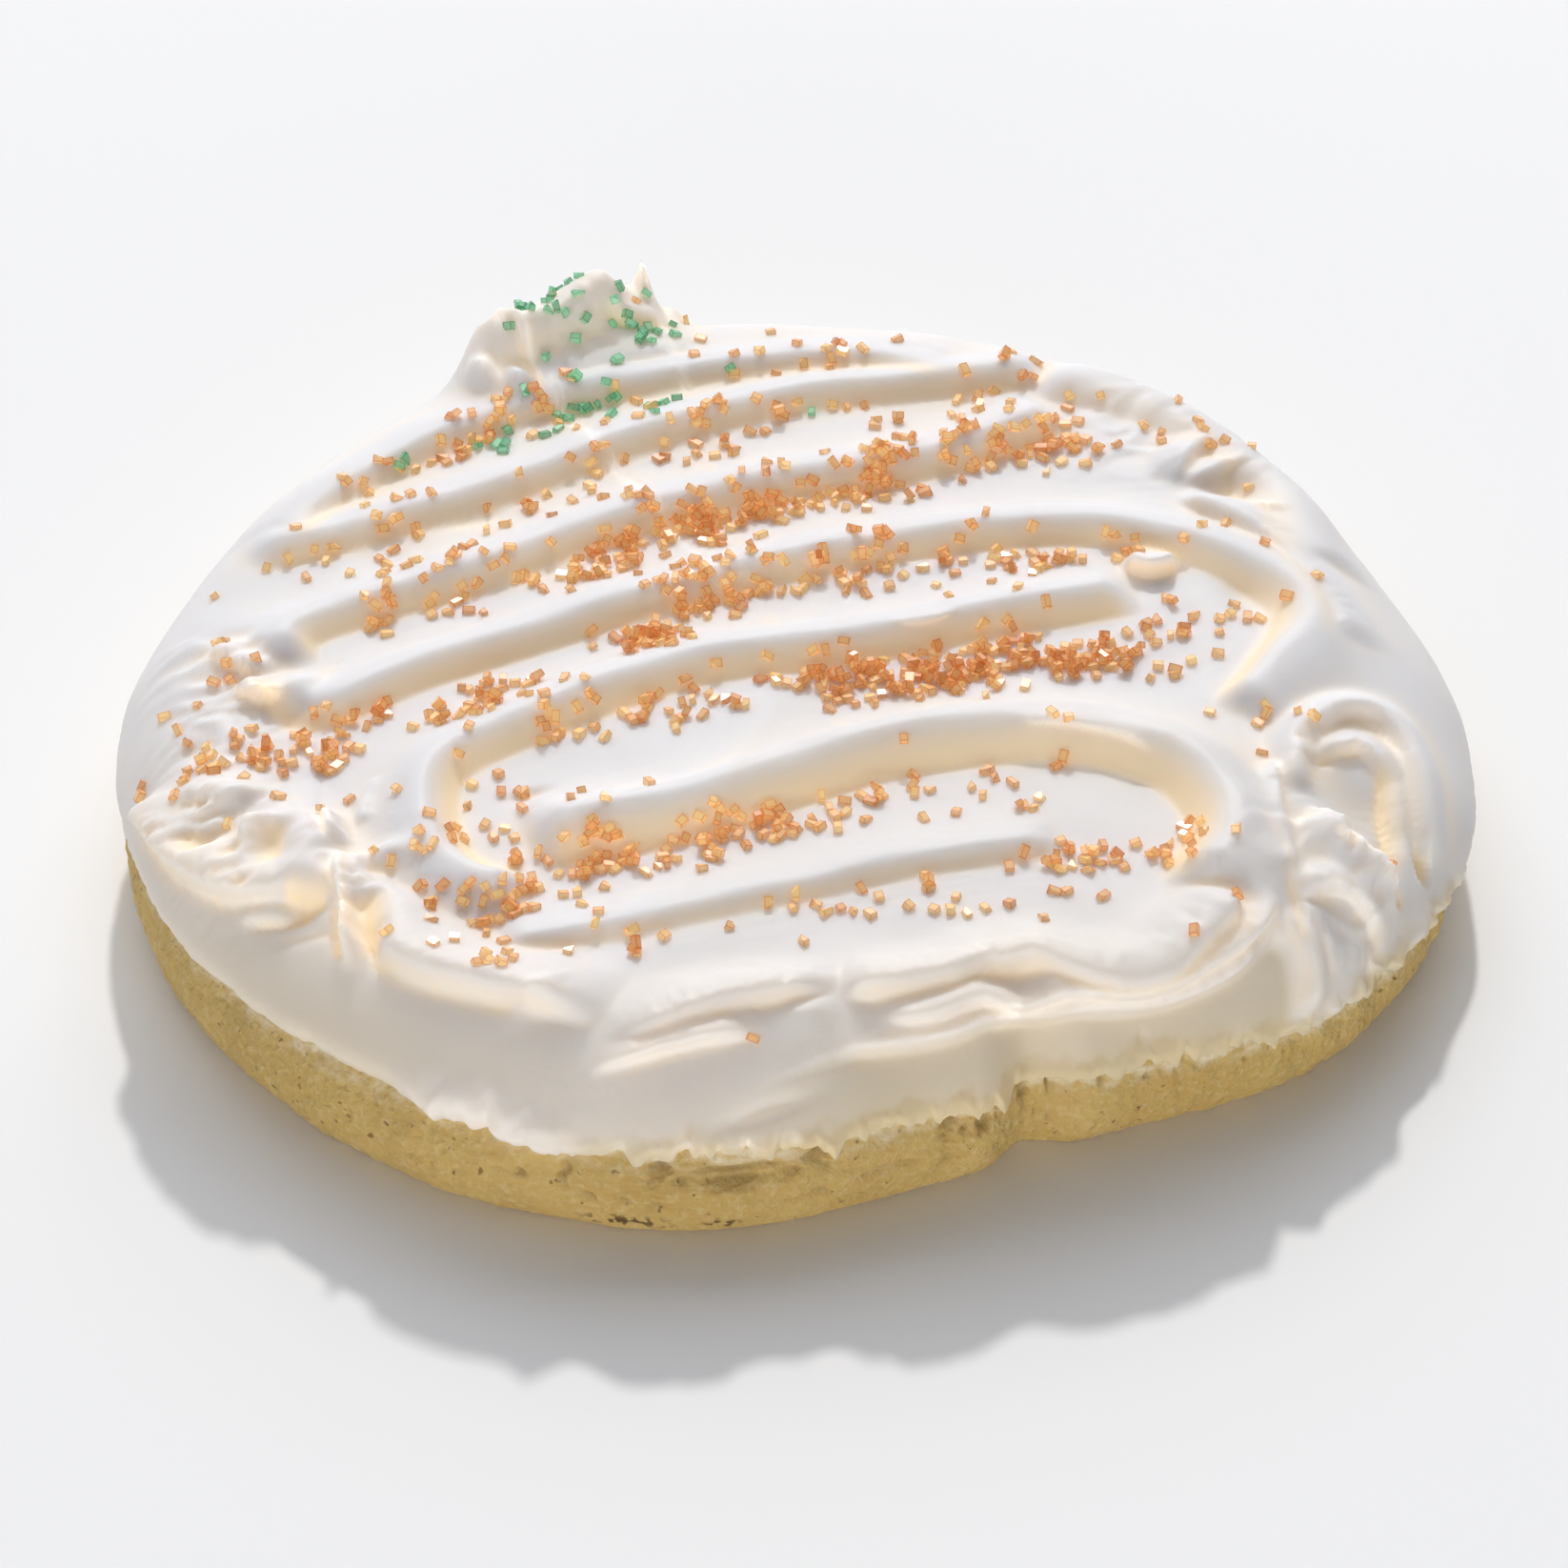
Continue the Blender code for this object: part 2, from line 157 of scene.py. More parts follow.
@dataclass(frozen=True)
class CookiePlan:
    """Named sizes of the cookie in millimetres, about the middle of its round body.

    Points of the icing are kept on a spread-out plane: a bearing from +X towards +Y, and the
    length walked outwards over the biscuit from the middle. The stem has a bearing, a half
    width in degrees, a length and the width of its flanks in degrees. The notch has a bearing,
    a half width and a depth.
    """

    body_radii: tuple[float, ...] = (46.0, 46.3, 46.8, 46.6, 46.5, 45.7, 46.0, 46.4, 48.0,
                                     48.7, 48.5, 47.8, 45.9, 42.0, 41.8, 46.4, 48.0, 47.2)
    shoulder_insets: tuple[float, ...] = (11.5, 8.0, 7.0, 6.5, 7.0, 7.5, 9.0, 11.0, 11.0, 6.5,
                                          8.5, 12.5)
    edge_heights: tuple[float, ...] = (6.0, 6.8, 7.0, 7.0, 6.8, 6.6, 7.2, 7.8, 7.2, 6.9, 6.0, 5.2)
    height: float = 12.0
    belly: float = 4.0
    underside_inset: float = 2.2
    stem: tuple[float, float, float, float] = (89.7, 7.9, 4.6, 2.4)
    notch: tuple[float, float, float] = (271.5, 6.0, 1.6)
    centring: tuple[float, float] = (1.095, -4.645)

    def radius(self, bearing: Array) -> Array:
        """Radius of the biscuit's widest line, with its stem and its notch."""
        middle, half, length, flank = self.stem
        stem = smooth((half + flank / 2 - abs(turn_from(bearing, middle))) / flank)
        middle, half, depth = self.notch
        notch = smooth(1.0 - abs(turn_from(bearing, middle)) / half)
        return around(self.body_radii, bearing) + length * stem - depth * notch

    def arc(self, bearing: Array) -> Array:
        """Length over the rounded shoulder, from the flat top to the widest line."""
        inset = around(self.shoulder_insets, bearing)
        return math.pi / 2 * np.sqrt((inset ** 2 + (self.height - self.belly) ** 2) / 2)

    def lift(self, bearing: Array, reach: Array, lift: Array | float) -> Array:
        """Point over the biscuit's top.

        Args:
            bearing: Bearings in degrees.
            reach: Length walked outwards over the surface.
            lift: Height off the surface, square to it.

        Returns:
            Points in millimetres in the part's frame.
        """
        inset = around(self.shoulder_insets, bearing)
        drop = self.height - self.belly
        flat = self.radius(bearing) - inset
        turn = np.clip((reach - flat) / self.arc(bearing), 0.0, 1.0) * math.pi / 2
        out = np.minimum(reach, flat) + inset * np.sin(turn)
        height = self.belly + drop * np.cos(turn)
        normal_out, normal_up = drop * np.sin(turn), inset * np.cos(turn)
        scale = lift / np.hypot(normal_out, normal_up)
        out, height = out + normal_out * scale, height + normal_up * scale
        angle = np.radians(bearing)
        return np.stack([out * np.cos(angle) + self.centring[0],
                         out * np.sin(angle) + self.centring[1], height], -1)

    def edge(self, bearing: Array) -> Array:
        """Walk from the middle to the lower edge of the icing, before it is torn."""
        rise = (around(self.edge_heights, bearing) - self.belly) / (self.height - self.belly)
        turn = np.arccos(np.clip(rise, 0.0, 1.0)) / (math.pi / 2)
        inset = around(self.shoulder_insets, bearing)
        return self.radius(bearing) - inset + turn * self.arc(bearing)


PLAN = CookiePlan()


@dataclass(frozen=True)
class KnifeRidge:
    """One ridge that the knife pushed up, along its crest. Its steep side is on the right.

    All lengths are millimetres: its height, how wide its steep and its gentle side are, how far
    the crest leans over the steep side, how high its torn burr stands, and how long it tapers
    at the ends.
    """

    name: str
    crest: tuple[tuple[float, float], ...]
    height: float
    steep: float
    gentle: float
    lean: float = 0.0
    burr: float = 0.0
    taper: float = 3.0


TROUGH_RIDGES: tuple[KnifeRidge, ...] = (
    KnifeRidge("back rim", ((-30, 27), (-24, 31.5), (-12, 36), (0, 36.5), (10, 35.5), (19, 33),
                            (25, 28)), 1.2, 1.05, 2.4, 0.1),
    KnifeRidge("second", ((-32, 27), (-22, 27), (-12, 28), (-1, 30), (9, 30.5), (20, 29),
                          (31, 26)), 1.4, 1.2, 2.4, 0.1),
    KnifeRidge("third", ((-34, 13), (-31, 17.5), (-17, 19), (-8, 20.5), (5, 21), (18, 19.5),
                         (30, 21)), 1.55, 1.3, 2.5, 0.1),
    KnifeRidge("fourth", ((-34, 13), (-33.5, 8), (-25, 9.5), (-12, 11), (1, 11.5), (14, 10.5),
                          (25.5, 7.5), (32.5, 2), (36.2, -4), (35.5, -9), (31, -13.5),
                          (26.5, -17)), 1.5, 1.25, 2.6, 0.1),
    KnifeRidge("fifth", ((-26, -16.5), (-30, -14), (-31, -8.5), (-28, -1.5), (-19, 1.5),
                         (-6.5, 3), (5.5, 1), (16, 0.2), (26, -1.5)), 1.7, 1.4, 2.6, 0.1),
    KnifeRidge("sixth", ((-25, -11), (-13, -12), (0, -11), (9, -12), (16, -15), (20.8, -20),
                         (22, -25), (20.5, -30), (16, -34.5)), 2.3, 1.9, 2.8, 0.1),
    KnifeRidge("bench", ((-31, -20.5), (-20, -22), (-8.5, -22.5), (3, -23.5), (10, -25)),
               0.9, 1.0, 2.4, 0.2),
    KnifeRidge("fifth tear", ((7, 1.2), (10, 0.4), (13, 0.6)), 1.0, 0.5, 1.6, 0.6, 1.2),
    KnifeRidge("sixth tear", ((10, -12.6), (14, -14.4), (17.5, -17), (20, -20.5)),
               0.9, 0.5, 1.4, 0.7, 1.4),
    KnifeRidge("fourth flap", ((26.5, 2.6), (28.3, 0.9), (30.4, 1.2)), 1.5, 0.5, 1.6, 0.9, 0.9),
    KnifeRidge("left end flap", ((-38, 12.5), (-36.4, 10.8), (-34.4, 9.6)), 1.2, 0.5, 1.8, 0.8,
               1.2),
    KnifeRidge("left end curl", ((-37.5, 17.5), (-36.6, 14.5), (-34.6, 12.6)), 1.1, 0.6, 1.6, 0.6,
               0.9),
)
LEFT_CLUMP: tuple[KnifeRidge, ...] = (
    KnifeRidge("clump rim", ((-46.2, 6.5), (-45.8, 1.6), (-45.3, -2.2), (-44.1, -5.8),
                             (-42.4, -8.2), (-39.5, -10.2)), 1.5, 0.5, 1.8, 0.8, 1.0),
    KnifeRidge("fan top", ((-44.8, 2.9), (-43.2, 2.6), (-41.8, 0.8), (-40.9, -1.6)),
               1.1, 0.6, 1.5, 0.3, 0.6),
    KnifeRidge("fan right", ((-40.4, -2.6), (-41.3, -3.8), (-41.8, -5.2), (-42.6, -6.4)),
               1.0, 0.5, 1.1, 0.4, 0.8),
    KnifeRidge("fan fold one", ((-44.8, 1.2), (-43.6, 0.6), (-42.3, -0.6)), 0.55, 0.3, 0.8, 0.3,
               0.5),
    KnifeRidge("fan fold two", ((-44.8, -0.6), (-43.6, -1.2), (-42.2, -2.0)), 0.5, 0.3, 0.8, 0.3,
               0.5),
    KnifeRidge("fan fold three", ((-44.5, -2.5), (-43.1, -3.0), (-42.1, -3.5)), 0.6, 0.3, 0.7, 0.3,
               0.5),
    KnifeRidge("fan fold four", ((-44.0, -4.2), (-43.2, -5.0), (-42.3, -5.7)), 0.5, 0.3, 0.7, 0.3,
               0.5),
    KnifeRidge("block base", ((-41.2, -7.6), (-40.4, -9.2), (-39.2, -10.8), (-37.6, -11.6)),
               1.2, 0.6, 1.8, 0.5, 0.3),
    KnifeRidge("fin", ((-36.6, -3.2), (-37.0, -5.6), (-37.3, -8.0)), 1.2, 0.4, 0.8, 0.2, 0.6),
    KnifeRidge("torn strip", ((-37.3, -8.0), (-37.5, -10.4), (-37.7, -13.9), (-38.2, -16.0),
                              (-38.6, -18.2)), 1.9, 0.5, 0.9, 0.7, 1.0),
    KnifeRidge("strip twin", ((-36.2, -8.6), (-36.6, -11.0), (-36.6, -13.4)), 0.9, 0.4, 0.8, 0.3,
               1.3),
    KnifeRidge("lamina", ((-44.0, -8.7), (-42.0, -10.6), (-40.6, -11.5)), 0.4, 0.3, 1.0, 0.3),
    KnifeRidge("left slope crease", ((-31, -0.5), (-33.5, -3.2), (-35, -6.5)), 0.5, 0.5, 1.4,
               0.3, 0.4),
)
FRONT_FOLDS: tuple[KnifeRidge, ...] = (
    KnifeRidge("front lip", ((-36.6, -9.5), (-36.4, -15.5), (-35.0, -19.6), (-31.8, -23.2),
                             (-28.9, -25.6), (-25.9, -28.1), (-23.6, -30.2)),
               1.9, 0.8, 2.2, 0.9, 0.35, 7.0),
    KnifeRidge("lobe", ((-27.5, -29.6), (-24.5, -30.5), (-19.2, -31.2), (-13.5, -32.0),
                        (-8.5, -33.2)), 1.4, 0.6, 1.8, 0.8, 0.35, 6.0),
    KnifeRidge("crease", ((-28.0, -31.6), (-24.8, -32.1), (-20.0, -33.0), (-15.5, -34.2)),
               1.0, 0.3, 1.5, 0.7, 0.25, 5.0),
    KnifeRidge("fold", ((-11.0, -33.0), (-6.8, -34.4), (-3.0, -34.9), (0.2, -34.3), (3.0, -34.8),
                        (5.6, -36.6), (9.2, -37.7), (12.5, -37.0), (16.3, -35.4), (18.5, -33.5)),
               1.8, 0.6, 2.0, 0.9, 0.35),
    KnifeRidge("fold line", ((-4.0, -33.4), (1.0, -33.0), (5.0, -34.4), (9.0, -36.2),
                             (13.0, -35.4)), 0.5, 0.35, 1.0, 0.3, 0.2),
    KnifeRidge("low fold", ((-9.5, -35.6), (-5.5, -36.6), (-1.5, -36.6), (3.0, -37.2),
                            (9.0, -38.6), (14.5, -37.8), (18.5, -36.2), (20.5, -35.0)),
               1.2, 0.4, 1.2, 0.7, 0.35),
    KnifeRidge("lowest edge", ((-12.0, -36.6), (-8.0, -37.4), (-4.0, -38.0), (0.5, -37.6),
                               (4.5, -38.7), (10.0, -39.5), (15.0, -38.9), (19.3, -36.9)),
               0.5, 0.4, 2.0, 0.5, 0.4),
)
RIGHT_SWIRL: tuple[KnifeRidge, ...] = (
    KnifeRidge("arch", ((26.8, -26.5), (27.9, -23.5), (29.4, -20.8), (31.4, -19.0), (33.4, -18.1),
                        (35.2, -18.6), (36.0, -20.6), (35.8, -24.0), (35.0, -28.0),
                        (34.4, -31.5)), 1.3, 0.75, 1.3, 0.4, 0.2),
    KnifeRidge("inner arch", ((29.0, -22.8), (31.0, -22.0), (32.8, -21.7), (33.6, -23.4),
                              (32.9, -27.0), (31.9, -30.4), (30.9, -33.2)),
               0.9, 0.45, 1.0, 0.5, 0.4),
    KnifeRidge("dish tear", ((31.4, -35.1), (29.5, -33.6), (28.6, -32.0), (27.0, -30.8),
                             (27.4, -28.8), (26.4, -27.4)), 1.2, 0.4, 2.2, 0.6, 1.2),
    KnifeRidge("nub", ((27.6, -22.4), (29.0, -22.4), (30.0, -22.9)), 0.8, 0.5, 0.9, 0.3, 0.6),
    KnifeRidge("ray up", ((21.4, -34.6), (21.9, -31.4), (22.6, -28.0)), 0.9, 0.6, 1.0, 0.2, 0.3),
    KnifeRidge("ray swirl", ((21.6, -34.8), (23.4, -30.6), (25.2, -26.0), (26.8, -21.5)),
               1.0, 0.6, 1.3, 0.3, 0.4),
    KnifeRidge("ray left", ((15.8, -37.4), (18.6, -35.9), (21.2, -34.8)), 1.0, 0.5, 1.2, 0.5, 0.3),
    KnifeRidge("ray right", ((21.4, -34.8), (24.8, -33.8), (27.6, -35.2), (28.8, -38.2)),
               0.9, 0.5, 1.4, 0.4, 0.6),
    KnifeRidge("strand", ((21.2, -34.8), (21.6, -37.0), (22.0, -39.5), (21.4, -43.0)),
               1.2, 0.6, 1.0, 0.3, 0.3),
    KnifeRidge("strand twin", ((22.0, -34.8), (23.3, -37.0), (24.0, -39.8)), 0.6, 0.4, 1.0, 0.2,
               0.3),
    KnifeRidge("flake", ((28.2, -40.2), (30.6, -39.2), (33.4, -36.6), (34.6, -34.6)),
               0.9, 0.35, 1.2, 0.9, 0.8),
    KnifeRidge("right rim", ((30, 26), (35.5, 21), (39.5, 13), (40.5, 5), (38.5, -4)),
               1.3, 1.6, 2.4, 0.2),
    KnifeRidge("fork upper", ((33.6, 9.6), (36.0, 12.6), (37.6, 13.6), (40.0, 13.6)),
               1.1, 0.6, 1.4, 0.4, 0.4),
    KnifeRidge("fork lower", ((34.4, 9.0), (37.4, 10.4), (39.6, 10.8), (41.4, 9.4)),
               0.9, 0.5, 1.1, 0.4, 0.4),
    KnifeRidge("outer band", ((33.4, 8.6), (34.9, 6.2), (36.4, 3.0), (37.6, -1.0), (38.0, -5.5),
                              (37.6, -9.0), (36.4, -12.5)), 1.3, 0.8, 1.8, 0.4, 0.3),
    KnifeRidge("band crumbs", ((37.0, 5.4), (38.4, 4.6), (39.2, 3.0)), 0.6, 0.4, 0.6, 0.1, 1.4),
)
STEM_CURL: tuple[KnifeRidge, ...] = (
    KnifeRidge("stem crest", ((-8.6, 39.4), (-7.6, 41.2), (-4.0, 42.8), (-0.7, 43.5), (2.9, 44.4),
                              (4.8, 43.9)), 1.9, 1.4, 2.2, 0.5, 0.2),
    KnifeRidge("stem fin", ((5.6, 45.8), (6.4, 45.2), (7.6, 43.6), (8.8, 42.1)), 1.3, 0.8, 0.9,
               0.2, 0.1),
    KnifeRidge("stem crease", ((1.6, 42.9), (3.4, 42.2), (6.6, 41.6)), 0.8, 0.5, 1.0, 0.4, 0.3),
    KnifeRidge("stem foot", ((-8.5, 38.0), (-2.0, 38.6), (4.4, 38.9), (8.5, 38.4)), 0.7, 0.6, 1.6,
               0.3, 0.2),
)
RIDGES = TROUGH_RIDGES + LEFT_CLUMP + FRONT_FOLDS + RIGHT_SWIRL + STEM_CURL


@dataclass(frozen=True)
class Groove:
    """A crease, or a slit under a fold, with its depth and half width in millimetres."""

    name: str
    line: tuple[tuple[float, float], ...]
    depth: float
    half: float


GROOVES: tuple[Groove, ...] = (
    Groove("swirl groove", ((33.4, -22.6), (33.3, -24.8), (32.5, -27.4), (31.9, -30.0),
                            (30.6, -33.0)), 1.2, 0.55),
    Groove("swirl line", ((29.5, -23.4), (30.7, -22.4), (31.8, -22.2), (33.2, -22.1)), 0.5, 0.4),
    Groove("arch line", ((28.7, -21.9), (30.2, -20.3), (31.8, -19.7)), 0.35, 0.5),
    Groove("star line", ((22.3, -32.6), (22.1, -34.3), (21.8, -35.9), (21.3, -38.5)), 0.5, 0.4),
    Groove("flake shade", ((27.4, -35.8), (28.5, -38.0), (26.8, -40.0)), 0.4, 0.6),
    Groove("fan hollow", ((-44.3, -0.6), (-44.1, -2.1), (-43.6, -3.3)), 0.9, 0.55),
    Groove("fan shade", ((-43.2, -4.4), (-42.3, -5.1), (-41.5, -5.2)), 0.6, 0.4),
    Groove("fan line", ((-43.7, -5.8), (-42.8, -6.5), (-42.1, -6.6)), 0.35, 0.3),
    Groove("fan line low", ((-43.2, -7.2), (-42.2, -7.9), (-41.4, -7.9)), 0.35, 0.3),
    Groove("fold shade", ((-40.0, -4.0), (-40.7, -5.8), (-41.0, -7.7)), 0.8, 0.7),
    Groove("under block", ((-40.9, -9.3), (-39.6, -10.9), (-38.4, -11.6)), 1.2, 0.7),
    Groove("left of strip", ((-38.3, -11.9), (-38.7, -14.5), (-39.2, -16.8)), 0.7, 0.45),
    Groove("right of strip", ((-36.4, -12.6), (-36.4, -15.7), (-36.7, -18.2)), 1.2, 0.8),
    Groove("lamina shade", ((-43.8, -9.8), (-41.4, -11.3), (-39.4, -12.4)), 0.5, 0.4),
    Groove("skirt line", ((-42.8, -11.9), (-40.0, -13.6), (-38.5, -14.6)), 0.4, 0.45),
    Groove("stem crease", ((0.8, 42.6), (3.0, 42.0), (6.8, 41.5)), 1.0, 0.5),
)


@dataclass(frozen=True)
class Spot:
    """An oval heap (height above 0) or hollow (below 0) in the icing, down to the dough or not."""

    name: str
    middle: tuple[float, float]
    half: tuple[float, float]
    height: float
    to_dough: bool = False


SPOTS: tuple[Spot, ...] = (
    Spot("stem mound", (-3, 42.5), (6.5, 4.0), 2.0),
    Spot("stem mound end", (3, 44), (4.2, 3.2), 1.6),
    Spot("stem left lobe", (-7.0, 41.3), (2.6, 2.4), 1.5),
    Spot("stem top lobe", (1.4, 44.9), (3.0, 1.3), 0.8),
    Spot("stem tip", (6.3, 45.3), (1.1, 1.0), 2.2),
    Spot("stem nodule", (-9.1, 39.5), (0.9, 1.0), 1.7),
    Spot("stem nodule small", (-7.0, 38.2), (0.8, 0.8), 1.2),
    Spot("left mass", (-42, -3), (4.0, 5.5), 1.0),
    Spot("block", (-38.8, -6.3), (1.7, 3.4), 1.5),
    Spot("fan bowl", (-42.9, -2.6), (1.1, 1.3), -0.7),
    Spot("under block", (-40.6, -11.4), (1.6, 0.9), -0.7),
    Spot("beside strip", (-36.9, -15.6), (0.8, 2.4), -1.0),
    Spot("left lump", (-34.3, -9.8), (1.5, 1.1), 0.9),
    Spot("lip lump", (-29.2, -26.4), (1.4, 0.8), 0.8),
    Spot("lobe lump", (-13.4, -34.3), (2.0, 0.9), 0.7),
    Spot("skirt scar", (-17.7, -38.6), (3.2, 0.7), -0.8),
    Spot("swirl dish", (30.4, -27.6), (2.6, 4.6), -1.3),
    Spot("fork hollow", (37.2, 7.8), (1.8, 1.5), -1.0),
    Spot("band hollow", (33.6, -3.6), (1.8, 3.0), -0.6),
    Spot("left end hollow", (-34.6, 7.8), (1.6, 1.3), -0.8),
    Spot("hole one", (33.9, -31.2), (0.45, 1.1), -1.4, True),
    Spot("hole two", (30.6, -34.4), (0.5, 0.5), -0.9, True),
    Spot("pit one", (5.9, -42.9), (0.45, 0.6), -0.7, True),
    Spot("pit two", (-0.6, -42.4), (0.5, 0.9), -0.7, True),
    Spot("pit three", (-15.0, -42.3), (0.4, 0.6), -0.7),
    Spot("pit four", (9.2, -41.4), (0.3, 0.35), -0.5),
    Spot("floor dent", (-15.5, 24.6), (2.2, 0.35), -0.3),
    Spot("floor dent two", (-22.5, -6.5), (1.4, 0.5), -0.35),
    Spot("floor dent three", (-5.2, -14.2), (1.6, 0.4), -0.35),
)
BARE_EDGE: tuple[tuple[float, float], ...] = (
    (-21.0, -37.0), (-12.0, -36.9), (-8.0, -37.8), (-4.0, -38.4), (0.5, -37.9), (4.5, -39.0),
    (10.0, -39.8), (15.0, -39.2), (18.0, -37.9), (19.6, -37.2), (20.4, -38.0), (20.6, -39.8),
    (20.6, -41.5), (19.8, -44.0))


@dataclass(frozen=True)
class TornZone:
    """An oval part of the icing that the knife left ragged."""

    middle: tuple[float, float]
    half: tuple[float, float]
    rough: float


TORN_ZONES: tuple[TornZone, ...] = (
    TornZone((-42, -2), (5, 7), 0.7),
    TornZone((-38, 14), (4, 6), 0.7),
    TornZone((-41, 8), (4, 4), 0.5),
    TornZone((-37, -12), (2.5, 6), 0.7),
    TornZone((26, -33), (6, 6), 0.5),
    TornZone((-4, 42), (7, 4), 0.5),
    TornZone((36, 16), (6, 8), 0.35),
    TornZone((5, -37.5), (18, 2.0), 0.35),
    TornZone((-20, -32), (10, 2.5), 0.3),
)


class KnifeWork:
    """Relief of the spread icing: ridges, heaps, torn places and the fine marks of the knife."""

    fade_at_edge: float = 2.5
    ridge_blend: int = 4
    bend: float = 0.16
    swelling: float = 0.16
    mark_depth: float = 0.04

    def __init__(self) -> None:
        """Seed the noises."""
        self.warp_x, self.warp_y = Grain(3), Grain(4)
        self.swell, self.tear, self.mark = Grain(5), Grain(6), Grain(7)

    @staticmethod
    def beside(points: Array, line: Array) -> tuple[Array, Array, Array]:
        """Measure points against a line.

        Args:
            points: Points of the plane.
            line: Polyline.

        Returns:
            Distance (positive on the right hand), place along the line from 0 to 1, and the
            unit vector to the right of the nearest stretch.
        """
        start, step = line[:-1], np.diff(line, axis=0)
        length = np.hypot(step[:, 0], step[:, 1])
        run = np.concatenate([[0.0], np.cumsum(length)])
        offset = points[:, None] - start[None]
        along = np.clip((offset * step).sum(-1) / length ** 2, 0.0, 1.0)
        away = offset - along[..., None] * step
        distance = np.hypot(away[..., 0], away[..., 1])
        nearest = distance.argmin(1)
        row = np.arange(len(points))
        gap = away[row, nearest]
        side = step[nearest, 0] * gap[:, 1] - step[nearest, 1] * gap[:, 0]
        place = (run[nearest] + along[row, nearest] * length[nearest]) / run[-1]
        right = np.stack([step[nearest, 1], -step[nearest, 0]], -1) / length[nearest, None]
        return np.where(side > 0, -1.0, 1.0) * distance[row, nearest], place, right

    def around_line(self, points: Array, line: Array,
                    reach: float) -> tuple[Array, Array, Array, Array]:
        """Which points are within reach of a line, and how they lie beside it."""
        near = np.where((points > line.min(0) - reach).all(1)
                        & (points < line.max(0) + reach).all(1))[0]
        return near, *self.beside(points[near], line)

    @staticmethod
    def profile(distance: Array, ridge: KnifeRidge) -> Array:
        """Height over a ridge: a broad round crest, a face that rolls down, and a soft back."""
        face = np.clip(distance / (1.8 * ridge.steep), 0.0, 1.0)
        back = np.maximum(-distance, 0.0) / ridge.gentle
        return (1.0 - face ** 1.7) ** 1.2 * np.exp(-back ** 1.9)

    def relief(self, points: Array) -> tuple[Array, Array, Array]:
        """Work out the relief.

        Args:
            points: Points of the spread-out plane.

        Returns:
            Height over the trough floor, how far the ridges lean over as plane vectors, and how
            deep each point lies under a ridge or in a groove, kept as a mask of painted shade and
            glow.
        """
        x, y = points[:, 0], points[:, 1]
        bent = points + self.bend * np.stack([warp.layers(x, y, 11.0, 2)
                                              for warp in (self.warp_x, self.warp_y)], -1)
        total = np.zeros(len(points))
        lean = np.zeros((len(points), 2))
        nearest = np.full(len(points), 99.0)
        marks = np.zeros(len(points))
        painted_shade_glow = np.zeros(len(points))
        for number, ridge in enumerate(RIDGES):
            line = through(ridge.crest)
            reach = 5.0 * max(ridge.steep, ridge.gentle)
            near, distance, place, right = self.around_line(bent, line, reach)
            fall = self.profile(distance, ridge)
            length = float(np.hypot(*np.diff(line, axis=0).T).sum())
            share = min(ridge.taper / length, 0.3)
            ends = smooth(place / share) * smooth((1 - place) / share)
            height = ridge.height * (1 + 0.10 * self.swell.at(x[near], y[near], 7.0))
            ragged = np.abs(self.tear.layers(x[near], y[near], 1.3, 2))
            part = height * fall * ends + ridge.burr * 0.55 * (0.6 - ragged) * fall ** 2 * ends
            total[near] += np.maximum(part, 0.0) ** self.ridge_blend
            lean[near] += right * (ridge.lean * fall ** 1.5 * ends)[:, None]
            # Painted shade on the face under each ridge, strongest for the trough ridges.
            under = smooth((distance / ridge.steep + 0.05) / 1.5) \
                * smooth((1.8 * ridge.steep + 0.8 - distance) / 1.2)
            under *= 1.0 if number < len(TROUGH_RIDGES) else 0.5
            painted_shade_glow[near] = np.maximum(painted_shade_glow[near], under * ends * min(ridge.height / 1.8, 1.0))
            closer = np.abs(distance) < nearest[near]
            stripe = (self.mark.at(distance + 31.0 * number, place * 6.0, 0.9)
                      + 0.6 * self.mark.at(distance + 57.0 * number, place * 9.0, 0.42))
            stripe *= number < len(TROUGH_RIDGES)
            marks[near] = np.where(closer, stripe * ends, marks[near])
            nearest[near] = np.where(closer, np.abs(distance), nearest[near])
        total = total ** (1.0 / self.ridge_blend)
        for groove in GROOVES:
            line = through(groove.line)
            near, distance, place, _ = self.around_line(bent, line, 3.0)
            ends = smooth(place / 0.25) * smooth((1 - place) / 0.25)
            total[near] -= groove.depth * np.exp(-(distance / groove.half) ** 2) * ends
            # Painted shade in the groove.
            inner = np.exp(-(distance / (1.2 * groove.half)) ** 2) * ends
            painted_shade_glow[near] = np.maximum(painted_shade_glow[near], inner * min(groove.depth, 1.0))
        for spot in SPOTS:
            total += spot.height * np.exp(-oval(x, y, spot.middle, spot.half))
        total += self.mark_depth * marks * np.exp(-(nearest / 5.0) ** 2)
        total += self.swelling * self.swell.layers(x, y, 13.0, 2)
        total += self.torn(bent)
        return total, lean, painted_shade_glow

    @staticmethod
    def holes(points: Array) -> Array:
        """1 where the dough shows at the bottom of a hole or a pit."""
        out = np.zeros(len(points))
        for spot in SPOTS:
            hole = spot.to_dough * np.exp(-oval(*points.T, spot.middle, spot.half))
            out = np.maximum(out, hole)
        return out

    def torn(self, points: Array) -> Array:
        """Height of the ragged flakes and folds in the torn zones."""
        x, y = points[:, 0], points[:, 1]
        out = np.zeros(len(points))
        flow_x = x + 1.2 * self.warp_x.at(x + 40, y, 4.0)
        flow_y = y + 1.2 * self.warp_y.at(x, y + 40, 4.0)
        folds = 0.75 - np.abs(self.tear.at(flow_x * 0.6, flow_y, 2.0)) * 1.5
        flakes = 0.6 - np.abs(self.tear.at(flow_x + 30, flow_y * 0.7, 0.9)) * 1.3
        for zone in TORN_ZONES:
            away = oval(x, y, zone.middle, zone.half)
            out += zone.rough * np.exp(-away ** 1.5) * (0.55 * folds + 0.22 * flakes)
        return out


# Small Blender helpers

